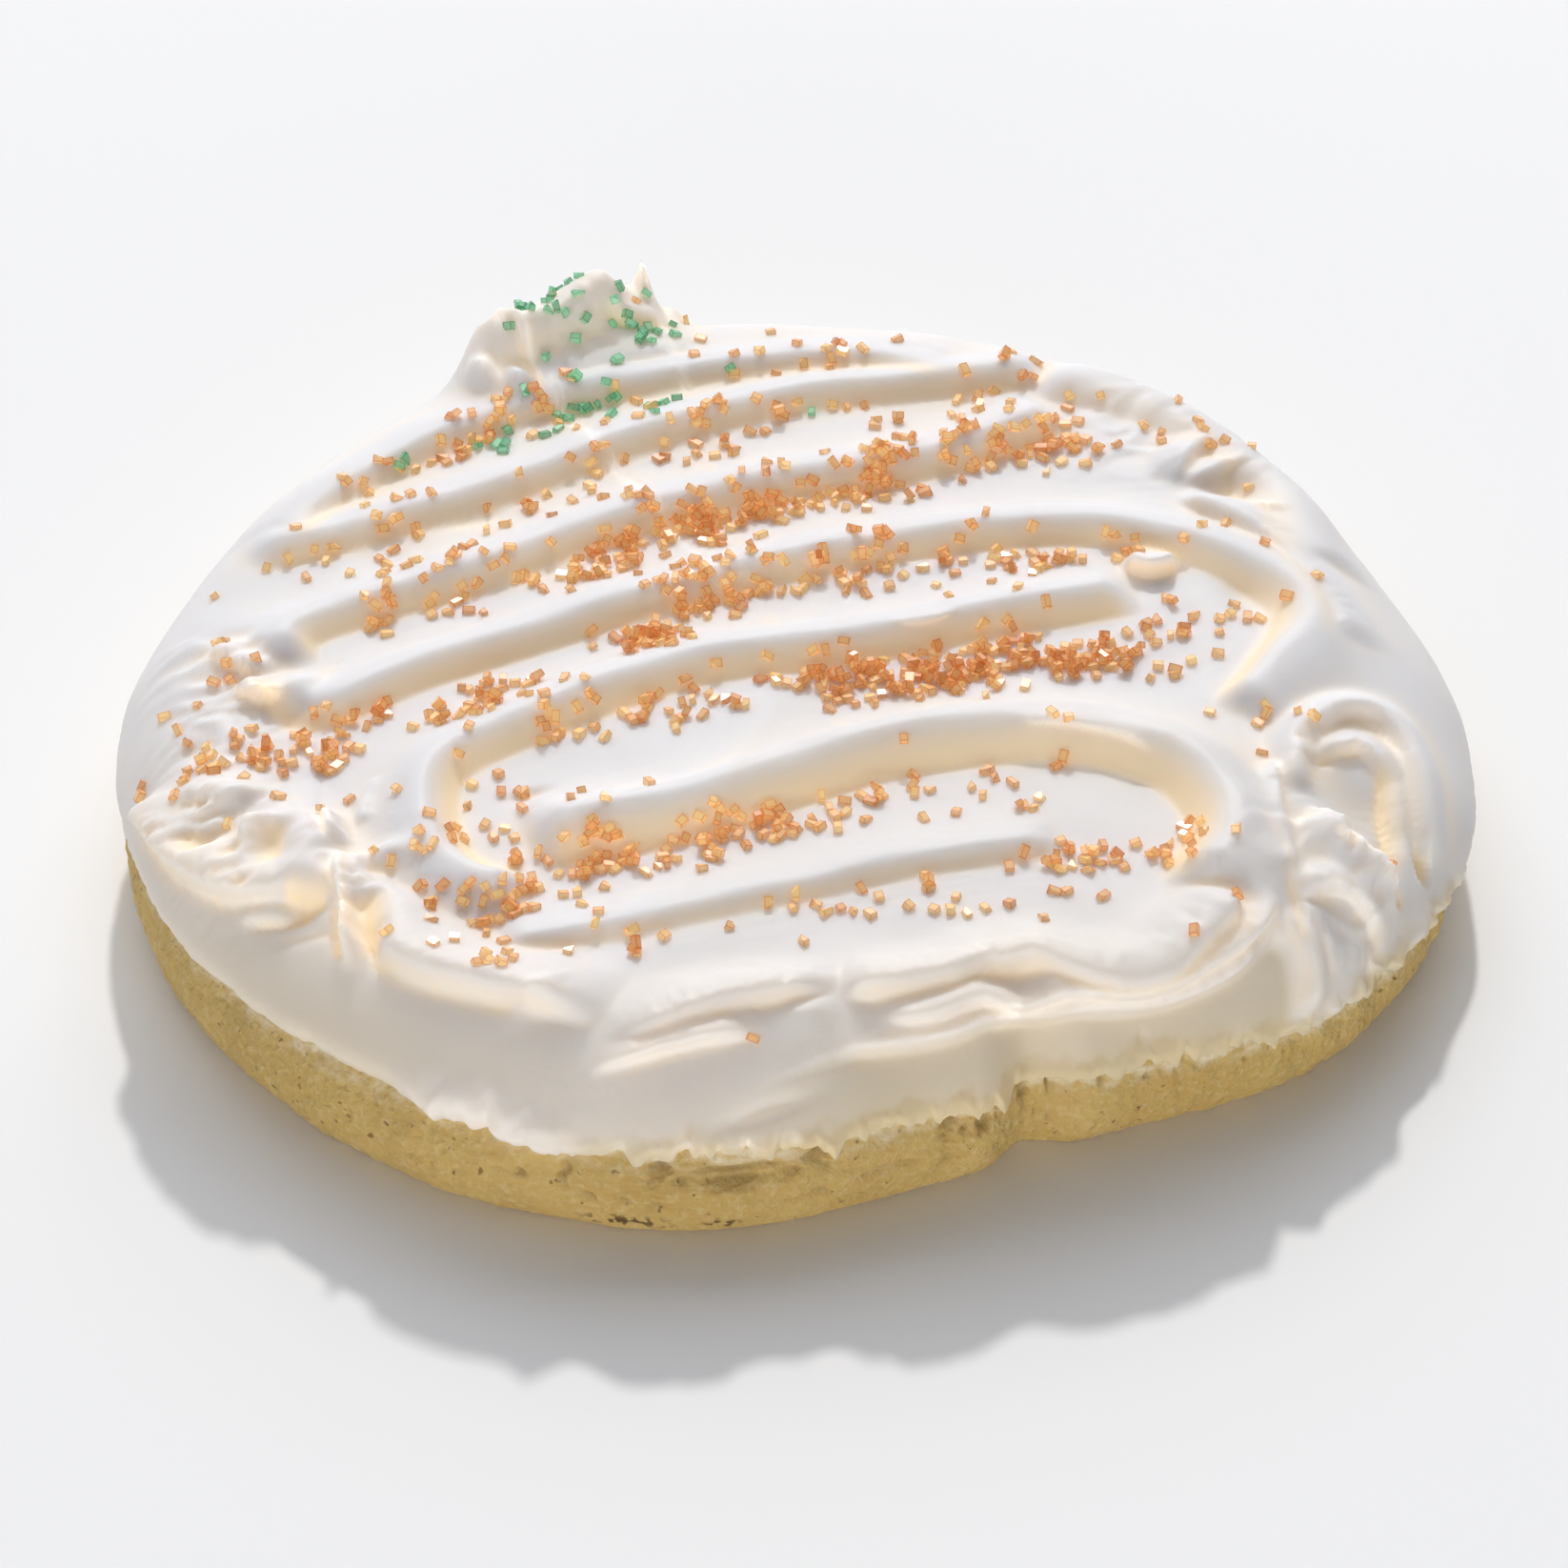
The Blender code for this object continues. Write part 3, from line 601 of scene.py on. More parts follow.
def deselect() -> None:
    """Leave nothing selected."""
    bpy.ops.object.select_all(action="DESELECT")


def make_active(piece: bpy.types.Object) -> None:
    """Select one object alone and make it the active one."""
    deselect()
    piece.select_set(True)
    bpy.context.view_layer.objects.active = piece


def read_points(piece: bpy.types.Object) -> Array:
    """Vertex places of a mesh, as an array."""
    out = np.empty(len(piece.data.vertices) * 3)
    piece.data.vertices.foreach_get("co", out)
    return out.reshape(-1, 3)


def write_points(piece: bpy.types.Object, points: Array) -> None:
    """Move all vertices of a mesh."""
    piece.data.vertices.foreach_set("co", np.asarray(points, float).ravel())
    piece.data.update()


def keep_on_points(piece: bpy.types.Object, name: str, values: Array) -> None:
    """Keep one number for each vertex, for the material to read."""
    layer = piece.data.attributes.new(name, "FLOAT", "POINT")
    layer.data.foreach_set("value", np.asarray(values, float))


def edit_edges(piece: bpy.types.Object, wanted: Callable[[bmesh.types.BMEdge], bool]) -> None:
    """Open the active mesh for editing with only the wanted edges selected."""
    bpy.ops.object.mode_set(mode="EDIT")
    bpy.ops.mesh.select_mode(type="EDGE")
    work = bmesh.from_edit_mesh(piece.data)
    for part in (*work.verts, *work.edges, *work.faces):
        part.select = False
    for edge in work.edges:
        edge.select = wanted(edge)
    work.select_flush_mode()
    bmesh.update_edit_mesh(piece.data)


def finish_mesh(piece: bpy.types.Object, material: bpy.types.Material) -> None:
    """Turn the faces outwards, smooth the piece and give it its material."""
    make_active(piece)
    bpy.ops.object.mode_set(mode="EDIT")
    bpy.ops.mesh.select_all(action="SELECT")
    bpy.ops.mesh.normals_make_consistent(inside=False)
    bpy.ops.object.mode_set(mode="OBJECT")
    bpy.ops.object.shade_smooth()
    piece.data.materials.clear()
    piece.data.materials.append(material)


def connect(tree: bpy.types.NodeTree, node: bpy.types.Node, **inputs: Any) -> None:
    """Set or link inputs of a node.

    Args:
        tree: Tree that holds the node.
        node: The node.
        **inputs: Value or output socket for each named input, with _ for a space. A key such
            as i0 names an input by its number.
    """
    for key, value in inputs.items():
        numbered = key[0] == "i" and key[1:].isdigit()
        socket = node.inputs[int(key[1:])] if numbered else node.inputs[key.replace("_", " ")]
        if isinstance(value, bpy.types.NodeSocket):
            tree.links.new(value, socket)
        else:
            socket.default_value = value


def add_node(tree: bpy.types.NodeTree, kind: str, settings: dict[str, Any] | None = None,
             output: str | int = 0, **inputs: Any) -> bpy.types.NodeSocket:
    """Add a shader node with its settings and links.

    Args:
        tree: Tree the node goes into.
        kind: Blender's name for the node.
        settings: Properties of the node.
        output: Name or number of the output to give back.
        **inputs: Value or output socket for each named input, as in connect.

    Returns:
        The output.
    """
    node = tree.nodes.new(kind)
    for key, value in (settings or {}).items():
        setattr(node, key, value)
    connect(tree, node, **inputs)
    return node.outputs[output]


def start_material(name: str) -> tuple[bpy.types.Material, bpy.types.NodeTree, bpy.types.Node]:
    """New material with its tree and its shader."""
    material = bpy.data.materials.new(name)
    material.use_nodes = True
    tree = material.node_tree
    return material, tree, tree.nodes["Principled BSDF"]


# Finishes

@dataclass(frozen=True)
class Buttercream:
    """Whipped butter and sugar, spread with a knife.

    The light goes into it and comes out warmer. The hollows, the faces under the ridges, the
    shaded front of the skirt and the stem are painted shade, mixed towards a warm off-white, with
    a weak painted glow (emission) for light shining through from behind, while the lit tops stay
    almost white. The surface is satin, with a soft wide sheen.
    """

    white: str = "#F0EEEF"
    # Painted shade colour for the hollows and the shaded faces.
    shade_cream: str = "#F2E0C0"
    # Colour of the painted glow that stands in for light shining through the ridges.
    through: str = "#FFDCAC"
    over_dough: str = "#CFBD97"
    roughness: float = 0.55
    glow_mm: float = 1.9
    # Strength of that painted glow.
    painted_glow_strength: float = 0.22
    cloudiness: float = 0.06
    ior: float = 1.45

    def make(self) -> bpy.types.Material:
        """Build the material."""
        material, tree, shader = start_material("whipped_buttercream")
        place = add_node(tree, "ShaderNodeTexCoord", output="Object")
        film, painted_shade_glow = (add_node(tree, "ShaderNodeAttribute", {"attribute_name": name}, "Fac")
                      for name in ("film", "painted_shade_glow"))
        # The noise scales are features to the metre: clouds of 4 mm and a grain of 0.4 mm.
        cloud, grain = (
            add_node(tree, "ShaderNodeTexNoise", output="Fac", Vector=place, Scale=scale,
                     Detail=detail)
            for scale, detail in ((260.0, 3.0), (2600.0, 2.0)))
        thin = add_node(tree, "ShaderNodeMath", {"operation": "MULTIPLY_ADD", "use_clamp": True},
                        i0=cloud, i1=self.cloudiness, i2=film)
        colour = linear(self.white)
        # Painted shade: hollows and shaded faces are mixed towards the shade colour; the dough
        # under thin icing is real.
        for amount, other in ((painted_shade_glow, self.shade_cream), (thin, self.over_dough)):
            colour = add_node(tree, "ShaderNodeMix", {"data_type": "RGBA"}, 2,
                              i0=amount, i6=colour, i7=linear(other))
        # Painted glow: a weak emission on the painted-shade places, standing in for light shining
        # through from behind.
        glow = add_node(tree, "ShaderNodeMath", {"operation": "MULTIPLY"}, i0=painted_shade_glow,
                        i1=self.painted_glow_strength)
        bump = add_node(tree, "ShaderNodeBump", Strength=0.12, Distance=0.06 * MM, Height=grain)
        shader.subsurface_method = "BURLEY"
        connect(tree, shader, Base_Color=colour, Normal=bump, Roughness=self.roughness,
                IOR=self.ior, Emission_Color=linear(self.through), Emission_Strength=glow,
                Subsurface_Weight=1.0, Subsurface_Radius=(1.0, 0.7, 0.45),
                Subsurface_Scale=self.glow_mm * MM)
        return material


@dataclass(frozen=True)
class BakedDough:
    """Pale sugar cookie dough, rolled, cut and baked until just set.

    A matt fine crumb of deeper and paler yellow patches, with pale grains, small dark spots of
    painted shade for tiny holes, a film of icing below the icing's edge, painted shade in the
    cracks and pits and a few scorched specks low at the front.
    """

    crumb: str = "#D1B16C"
    deep: str = "#C3A25D"
    pale: str = "#E0CE9B"
    pore_shade: str = "#7A5A2C"
    scorch_and_crack_shade: str = "#4A2E18"
    smeared: str = "#EDE2C8"
    roughness: float = 0.75
    glow_mm: float = 0.8
    ior: float = 1.45

    def make(self) -> bpy.types.Material:
        """Build the material."""
        material, tree, shader = start_material("baked_sugar_dough")
        place = add_node(tree, "ShaderNodeTexCoord", output="Object")
        smear, pit, toast = (
            add_node(tree, "ShaderNodeAttribute", {"attribute_name": name}, "Fac")
            for name in ("smear", "pit", "toast"))
        # The noise scales are features to the metre: patches of 7 mm, grains of 0.6 mm, pores
        # of 0.8 mm, freckles of 0.7 mm and a fine crumb of 0.4 mm.
        patches, grains, holes, freckles, fine = (
            add_node(tree, "ShaderNodeTexNoise", output="Fac", Vector=place, Scale=scale,
                     Detail=detail, Roughness=rough)
            for scale, detail, rough in ((150.0, 5.0, 0.6), (1700.0, 3.0, 0.5),
                                         (1200.0, 2.0, 0.5), (1500.0, 1.0, 0.5),
                                         (2600.0, 2.0, 0.5)))
        yellow, light, pore_shade, specks = (
            add_node(tree, "ShaderNodeMapRange", Value=value, From_Min=low, From_Max=high,
                     To_Max=top)
            for value, low, high, top in ((patches, 0.35, 0.7, 1.0), (grains, 0.5, 0.72, 0.4),
                                          (holes, 0.67, 0.73, 0.8), (freckles, 0.53, 0.58, 1.0)))
        scorched = add_node(tree, "ShaderNodeMath", {"operation": "MULTIPLY"}, i0=toast,
                            i1=specks)
        # Painted shade: the pores and the cracks and pits are mixed darker; the patches, grains,
        # smear and scorched specks are the dough's own colour.
        colour = linear(self.deep)
        for amount, other in ((yellow, self.crumb), (light, self.pale), (pore_shade, self.pore_shade),
                              (smear, self.smeared), (pit, self.scorch_and_crack_shade),
                              (scorched, self.scorch_and_crack_shade)):
            colour = add_node(tree, "ShaderNodeMix", {"data_type": "RGBA"}, 2,
                              i0=amount, i6=colour, i7=linear(other))
        coarse = add_node(tree, "ShaderNodeBump", Strength=0.8, Distance=0.25 * MM,
                          Height=grains)
        bump = add_node(tree, "ShaderNodeBump", Strength=0.8, Distance=0.16 * MM, Height=fine,
                        Normal=coarse)
        connect(tree, shader, Base_Color=colour, Normal=bump, Roughness=self.roughness,
                IOR=self.ior, Subsurface_Weight=0.35, Subsurface_Radius=(1.0, 0.6, 0.25),
                Subsurface_Scale=self.glow_mm * MM)
        return material


@dataclass(frozen=True)
class SandingSugar:
    """Coloured coarse sugar: dyed crystals, like tinted glass.

    The flat faces are pale and carry a weak painted glow (emission) for light shining through the
    crystals, and the rims are painted deeper, as the edges of tinted glass look.
    """

    name: str
    core: str
    rim: str
    cover: float = 0.7
    # Strength of the painted glow.
    glow: float = 0.2
    roughness: float = 0.28
    ior: float = 1.54

    def make(self) -> bpy.types.Material:
        """Build the material."""
        material, tree, shader = start_material(self.name)
        dye_and_edge_shade = add_node(tree, "ShaderNodeAttribute", {"attribute_name": "dye_and_edge_shade"}, "Fac")
        stain = add_node(tree, "ShaderNodeMix", {"data_type": "RGBA"}, 2, i0=dye_and_edge_shade,
                         i6=linear(self.core), i7=linear(self.rim))
        # The stain is also the colour of the painted glow; the rim colour marks the painted deeper
        # edges and the deeper crystals.
        connect(tree, shader, Base_Color=stain, Roughness=self.roughness, IOR=self.ior,
                Alpha=self.cover, Emission_Color=stain, Emission_Strength=self.glow)
        return material


# Pieces

@dataclass
class Biscuit:
    """The baked dough: a thick body with its stem, notch, cracks with painted shade, and scorched
    specks.

    Each crack has a bearing in degrees, a height, a width, a tallness and a depth in
    millimetres. Scorched specks have a bearing and a half width in degrees.
    """

    sectors: int = 1200
    rows: int = 66
    mean_radius: float = 46.0
    crack_shade: float = 0.4
    toast_bearings: tuple[tuple[float, float], ...] = ((233.5, 3.6), (241.5, 1.5))
    toast_height: float = 1.6
    plan: CookiePlan = PLAN
    crumb: Grain = field(default_factory=lambda: Grain(21))
    lumps: Grain = field(default_factory=lambda: Grain(22))
    cracks: tuple[tuple[float, float, float, float, float], ...] = (
        (241.0, 5.2, 0.26, 0.7, 0.9), (244.0, 5.9, 0.24, 0.9, 0.9), (250.0, 6.4, 0.40, 0.5, 1.0),
        (262.0, 5.8, 0.24, 1.0, 0.7), (278.0, 6.6, 0.30, 0.8, 1.1), (236.0, 3.4, 0.24, 0.8, 0.7),
        (230.3, 3.9, 0.40, 0.5, 0.9), (257.0, 3.9, 0.25, 0.5, 0.6), (282.5, 5.8, 0.45, 0.35, 0.9),
        (224.5, 5.0, 0.40, 0.45, 0.9), (271.0, 5.5, 0.24, 1.6, 0.9), (248.0, 3.2, 0.5, 0.25, 0.6),
        (215.0, 3.6, 0.5, 0.22, 0.6), (266.0, 6.2, 0.3, 0.4, 0.8), (287.0, 5.6, 0.35, 0.3, 0.7),
        (292.0, 5.0, 0.4, 0.25, 0.6), (238.5, 5.6, 0.25, 0.6, 0.8), (295.5, 4.6, 0.3, 0.35, 0.6))

    def build(self) -> bpy.types.Object:
        """Shape the biscuit.

        Returns:
            The finished piece.
        """
        deselect()
        bpy.ops.mesh.primitive_cylinder_add(vertices=self.sectors, radius=1.0, depth=1.0,
                                            end_fill_type="NGON")
        piece = bpy.context.active_object
        piece.name = piece.data.name = "biscuit_crumb"
        self.cut_rows(piece)
        raw = read_points(piece)
        bearing = np.degrees(np.arctan2(raw[:, 1], raw[:, 0])) % 360.0
        down = np.clip(0.5 - raw[:, 2], 0.0, 1.0)
        points, height = self.side(bearing, down)
        write_points(piece, points * MM)
        keep_on_points(piece, "smear", self.smear(bearing, height))
        keep_on_points(piece, "toast", self.toast(bearing, height))
        # The pit values are painted shade for the cracks and pits.
        keep_on_points(piece, "pit", self.pits(bearing, height))
        finish_mesh(piece, BakedDough().make())
        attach(piece, "root")
        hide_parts("biscuit")
        return piece

    def cut_rows(self, piece: bpy.types.Object) -> None:
        """Cut the cylinder's side into rows."""
        make_active(piece)
        edit_edges(piece, lambda edge: abs(edge.verts[0].co.z - edge.verts[1].co.z) > 0.5)
        bpy.ops.mesh.subdivide(number_cuts=self.rows)
        bpy.ops.object.mode_set(mode="OBJECT")

    def side(self, bearing: Array, down: Array) -> tuple[Array, Array]:
        """Place the side.

        Args:
            bearing: Bearing of each point.
            down: How far down the side each point is, from 0 at the top to 1 at the base.

        Returns:
            Points in millimetres, and the height of each before the crumb is added.
        """
        radius = self.plan.radius(bearing)
        inset = around(self.plan.shoulder_insets, bearing)
        flat, arc = radius - inset, self.plan.arc(bearing)
        covered = self.plan.edge(bearing) - 2.0
        hidden, under = 0.14, 0.66
        reach = np.where(down < hidden, flat + (covered - flat) * down / hidden,
                         covered + (flat + arc - covered) * (down - hidden) / (under - hidden))
        low = np.clip((down - under) / (1 - under), 0.0, 1.0) * math.pi / 2
        points = self.plan.lift(bearing, np.minimum(reach, flat + arc), 0.0)
        angle = np.radians(bearing)
        outward = np.stack([np.cos(angle), np.sin(angle)], -1)
        points[:, :2] -= outward * (self.plan.underside_inset * (1 - np.cos(low)))[:, None]
        points[:, 2] = np.where(down > under, self.plan.belly * (1 - np.sin(low)), points[:, 2])
        height = points[:, 2].copy()
        points += self.crumble(angle * radius, height, outward, down)
        points[:, 2] = np.maximum(points[:, 2], 0.0)
        return points, height

    def crumble(self, along: Array, height: Array, outward: Array, down: Array) -> Array:
        """Shift of each point for the crumb, soft lumps and cracks."""
        depth = 0.20 * self.lumps.layers(along, height * 1.2, 5.0, 3)
        depth += 0.09 * self.crumb.layers(along, height, 1.0, 3)
        depth -= 0.16 * smooth((self.crumb.at(along + 50, height * 1.2, 0.8) - 0.45) / 0.35)
        depth -= self.cracked(along, height)
        fade = smooth(down / 0.1) * smooth((1.0 - down) / 0.08)
        return np.column_stack([outward * (depth * fade)[:, None], np.zeros(len(height))])

    def cracked(self, along: Array, height: Array) -> Array:
        """Depth of the cracks and pits, in millimetres."""
        depth = np.zeros(len(height))
        for middle, level, wide, tall, deep in self.cracks:
            centre = math.radians(middle) * float(self.plan.radius(np.array([middle]))[0])
            wander = 0.25 * self.crumb.at(height * 2.0, np.full_like(height, middle), 1.5)
            away = ((along - centre - wander) / wide) ** 2 + ((height - level) / tall) ** 2
            depth += 0.7 * deep * np.exp(-2.0 * away)
        return depth

    def smear(self, bearing: Array, height: Array) -> Array:
        """Film of icing left on the dough just below the icing's edge."""
        above = height - around(self.plan.edge_heights, bearing)
        along = np.radians(bearing) * self.mean_radius
        patch = 0.5 + 0.8 * self.crumb.layers(along, height * 2.0, 1.6, 3)
        return np.clip(smooth((above + 1.6) / 2.2) * patch, 0.0, 0.8)

    def toast(self, bearing: Array, height: Array) -> Array:
        """Where the dough has scorched specks, low at the front."""
        window = np.zeros(len(height))
        for middle, half in self.toast_bearings:
            window += np.exp(-(turn_from(bearing, middle) / half) ** 4)
        return 0.9 * window * np.exp(-((height - self.toast_height) / 0.6) ** 4)

    def pits(self, bearing: Array, height: Array) -> Array:
        """Painted shade in the cracks and pits of the dough."""
        along = np.radians(bearing) * self.plan.radius(bearing)
        return self.crack_shade * self.cracked(along, height)


@dataclass
class Icing:
    """The spread of buttercream over the biscuit: lengths in millimetres, bearings in degrees.

    The sheets have cells by cells faces. The gap lies between icing and biscuit, the trough is
    the usual thickness, and the inner sheet bites into the biscuit. Pairs of bearings are where
    the skirt is thin from and to, and otherwise a middle and a half width.
    """

    cells: int = 280
    inner_cells: int = 56
    gap: float = 0.3
    trough: float = 1.8
    front_pull: float = 0.2
    bite: float = 2.4
    thin_bearings: tuple[float, float] = (225.0, 328.0)
    flap_bearing: tuple[float, float] = (222.0, 7.5)
    warm_bearing: tuple[float, float] = (205.0, 45.0)
    shaded_bearing: tuple[float, float] = (235.0, 60.0)
    plan: CookiePlan = PLAN
    knife: KnifeWork = field(default_factory=KnifeWork)
    ragged: Grain = field(default_factory=lambda: Grain(31))

    @staticmethod
    def to_disc(square: Array) -> tuple[Array, Array]:
        """Bend a square of side 2 into a disc of radius 1.

        Args:
            square: Points of the square.

        Returns:
            Distance from the middle, and bearing in degrees.
        """
        a, b = square[:, 0], square[:, 1]
        wide = np.abs(a) > np.abs(b)
        safe_a, safe_b = np.where(a == 0, 1.0, a), np.where(b == 0, 1.0, b)
        distance = np.where(wide, a, b)
        angle = np.where(wide, math.pi / 4 * b / safe_a, math.pi / 2 - math.pi / 4 * a / safe_b)
        angle = np.where(distance == 0, 0.0, angle)
        return np.abs(distance), np.degrees(angle + np.where(distance < 0, math.pi, 0)) % 360.0

    def bare(self, plane: Array) -> Array:
        """1 where the skirt is only a thin film, below the folds of the front."""
        outside, _, _ = self.knife.beside(plane, through(BARE_EDGE))
        near = smooth((plane[:, 0] + 21.0) / 12.0) * (np.hypot(*plane.T) > 30.0)
        return smooth(outside / 0.9 + 0.3) * near * (plane[:, 0] < 21.5)

    def thin_side(self, bearing: Array) -> Array:
        """1 where the skirt is spread thin over the dough, at the front and the front right."""
        first, last = self.thin_bearings
        return smooth((bearing - first) / 8.0) * smooth((last - bearing) / 10.0)

    def left_warmth(self, bearing: Array) -> Array:
        """How much of the dough's colour is mixed into the skirt at the sides, most at the left.
        """
        middle, half = self.warm_bearing
        return 0.12 + 0.38 * smooth(1 - np.abs(turn_from(bearing, middle)) / half)

    def even_edge(self, bearing: Array) -> Array:
        """Walk from the middle to the edge of the icing, without its tears."""
        wave = self.ragged.layers(bearing * MM_PER_DEGREE, np.zeros_like(bearing), 9.0, 2)
        return self.plan.edge(bearing) + 0.5 * wave

    def tears(self, bearing: Array) -> Array:
        """How far drips and nicks move the edge, outwards or inwards."""
        along = bearing * MM_PER_DEGREE
        thin = self.thin_side(bearing)
        zero = np.zeros_like(bearing)
        drips = np.maximum(self.ragged.layers(along + 70, zero, 1.7, 2), 0.0) ** 1.3
        nicks = np.maximum(self.ragged.layers(along + 130, zero, 1.1, 2), 0.0)
        hang = self.flap(bearing) * (0.9 + 0.8 * self.ragged.layers(along + 31, zero, 2.6, 2))
        return thin * (1.5 * drips - 0.9 * nicks) - 0.25 * nicks * (1 - thin) + hang

    def flap(self, bearing: Array) -> Array:
        """1 where a torn flap of thick icing hangs over the edge, at the front left."""
        middle, half = self.flap_bearing
        return np.exp(-(turn_from(bearing, middle) / half) ** 4)

    def walk(self, bearing: Array, share: Array) -> Array:
        """Walk outwards for a share of the way to the torn edge."""
        return share * self.even_edge(bearing) + self.tears(bearing) * share ** 24

    def thickness(self, bearing: Array, inside: Array, deep: Array) -> Array:
        """Thickness in the troughs and down the skirt.

        Args:
            bearing: Bearings in degrees.
            inside: Distance to the torn edge.
            deep: Distance to the edge without its tears.

        Returns:
            Thickness in millimetres.
        """
        thin = self.thin_side(bearing)
        share = np.clip(inside / 1.5, 0.0, 1.0)
        bead = 0.1 + (self.trough - 0.1) * np.sqrt(1 - (1 - share) ** 2)
        bead = bead * (0.72 + 0.28 * smooth(deep / 7.0))
        feather = 0.12 + 0.35 * smooth(inside / 0.6) + (self.trough - 0.47) * smooth(deep / 11.0)
        along = bearing * MM_PER_DEGREE
        curls = np.maximum(self.ragged.layers(along + 11, inside * 0.7, 1.5, 2), 0.0)
        feather += 0.8 * curls * np.exp(-((inside - 0.55) / 0.5) ** 2)
        ragged = 0.6 + 0.6 * self.ragged.layers(along + 90, inside * 1.2, 2.2, 2)
        torn = 0.8 * self.flap(bearing) * ragged * np.exp(-((inside - 1.3) / 1.2) ** 2)
        return bead + (feather - bead) * thin + np.maximum(torn, 0.0)

    def surface(self, bearing: Array, share: Array) -> tuple[Array, Array, Array]:
        """Place the outer surface.

        Args:
            bearing: Bearings in degrees.
            share: Share of the walk from the middle to the torn edge.

        Returns:
            Points in millimetres, the film values, and the painted shade and glow values for the
            colour.
        """
        reach = self.walk(bearing, share)
        inside = self.walk(bearing, np.ones_like(share)) - reach
        deep = np.maximum(self.even_edge(bearing) - reach, 0.0)
        angle = np.radians(bearing)
        plane = np.stack([reach * np.cos(angle), reach * np.sin(angle)], -1)
        relief, lean, painted_shade_glow = self.knife.relief(plane)
        # Painted shade in the hollows of the relief.
        painted_shade_glow = np.maximum(painted_shade_glow, 0.8 * self.hollows(relief))
        fade = smooth(deep / self.knife.fade_at_edge) * smooth(inside / 0.8)
        bare = self.bare(plane)
        base = self.thickness(bearing, inside, deep) * (1 - 0.55 * bare)
        lift = self.gap + np.maximum(base + relief * fade * (1 - 0.7 * bare), 0.12)
        points = self.plan.lift(bearing, reach, lift)
        points[:, :2] += lean * fade[:, None]
        # Painted shade and glow on the shaded front of the skirt near its edge, and on the stem.
        middle, half = self.shaded_bearing
        front = smooth(1.5 - np.abs(turn_from(bearing, middle)) / half)
        stem = smooth((plane[:, 1] - 37.5) / 3.0) * smooth((11.0 - np.abs(plane[:, 0])) / 3.0)
        painted_shade_glow = np.maximum(painted_shade_glow * fade, 0.24 * front * smooth(1.3 - deep / 12.0))
        painted_shade_glow = np.maximum(painted_shade_glow, 0.3 * stem)
        return points, self.film(bearing, deep, plane, bare), painted_shade_glow

    @staticmethod
    def hollows(relief: Array, reach: int = 5, full: float = 0.9) -> Array:
        """How far each point of the square sheet lies below the icing around it.

        Args:
            relief: Heights in millimetres, row after row of the sheet.
            reach: Rows and columns on each side that count as around it.
            full: Depth in millimetres that counts as 1.

        Returns:
            Values from 0 to 1.
        """
        side = round(math.sqrt(len(relief)))
        mean = relief.reshape(side, side)
        for _ in range(2):
            wide = np.pad(mean, ((reach, reach), (0, 0)), mode="edge")
            run = np.vstack([np.zeros(wide.shape[1]), np.cumsum(wide, axis=0)])
            mean = ((run[2 * reach + 1:] - run[:-2 * reach - 1]) / (2 * reach + 1)).T
        return np.clip((mean.ravel() - relief) / full, 0.0, 1.0)

    def film(self, bearing: Array, deep: Array, plane: Array, bare: Array) -> Array:
        """How far the dough shows through, where the icing is thin."""
        thin = self.thin_side(bearing)
        patch = self.ragged.layers(plane[:, 0], plane[:, 1], 2.4, 3)
        low = smooth(1 - deep / 6.0)
        edge = smooth(1.0 - deep / 1.8 + 0.5 * patch)
        film = (thin * (0.10 + 0.24 * low + 0.50 * edge) + 0.42 * bare
                + (1 - thin) * self.left_warmth(bearing) * smooth(1 - deep / 9.0))
        film *= 1.0 - 0.8 * self.flap(bearing) * smooth(1.6 - deep / 2.0)
        return np.clip(film + self.knife.holes(plane), 0.0, 1.0)

    def sheet(self, cells: int) -> tuple[bpy.types.Object, Array, Array]:
        """Add a grid and read it as a disc."""
        deselect()
        bpy.ops.mesh.primitive_grid_add(x_subdivisions=cells, y_subdivisions=cells, size=2.0)
        piece = bpy.context.active_object
        square = read_points(piece)[:, :2]
        square[:, 1] -= self.front_pull * (1 - square[:, 1] ** 2)
        share, bearing = self.to_disc(square)
        return piece, share, bearing

    def build(self) -> bpy.types.Object:
        """Shape the icing.

        Returns:
            The finished piece.
        """
        outer, share, bearing = self.sheet(self.cells)
        points, film, painted_shade_glow = self.surface(bearing, share)
        inner, share, bearing = self.sheet(self.inner_cells)
        buried = self.plan.lift(bearing, self.walk(bearing, share), -self.bite)
        hidden_film = np.full(len(share), 0.3)
        # Each sheet keeps its film and its painted shade and glow values; the inner sheet has none
        # of the painted shade.
        for piece, place, thin, deep in ((outer, points, film, painted_shade_glow),
                                         (inner, buried, hidden_film, np.zeros(len(share)))):
            write_points(piece, place * MM)
            keep_on_points(piece, "film", thin)
            keep_on_points(piece, "painted_shade_glow", deep)
        make_active(outer)
        inner.select_set(True)
        bpy.ops.object.join()
        self.close_edge(outer)
        outer.name = outer.data.name = "icing_spread"
        finish_mesh(outer, Buttercream().make())
        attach(outer, "root")
        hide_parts("icing")
        return outer

    @staticmethod
    def close_edge(piece: bpy.types.Object) -> None:
        """Bridge the rims of the outer and the inner sheet."""
        edit_edges(piece, lambda edge: edge.is_boundary)
        bpy.ops.mesh.bridge_edge_loops()
        bpy.ops.object.mode_set(mode="OBJECT")


class SugarColour(Enum):
    """The two colours of sanding sugar."""

    ORANGE = "orange"
    GREEN = "green"


@dataclass(frozen=True)
class Drift:
    """Sugar shaken along a trough: two ends on the spread-out plane, width and count."""

    start: tuple[float, float]
    end: tuple[float, float]
    width: float
    count: int


def drifts(*rows: tuple[float, float, float, float, float, int]) -> tuple[Drift, ...]:
    """Drifts from rows of start x, start y, end x, end y, width and count."""
    return tuple(Drift((a, b), (c, d), width, count) for a, b, c, d, width, count in rows)


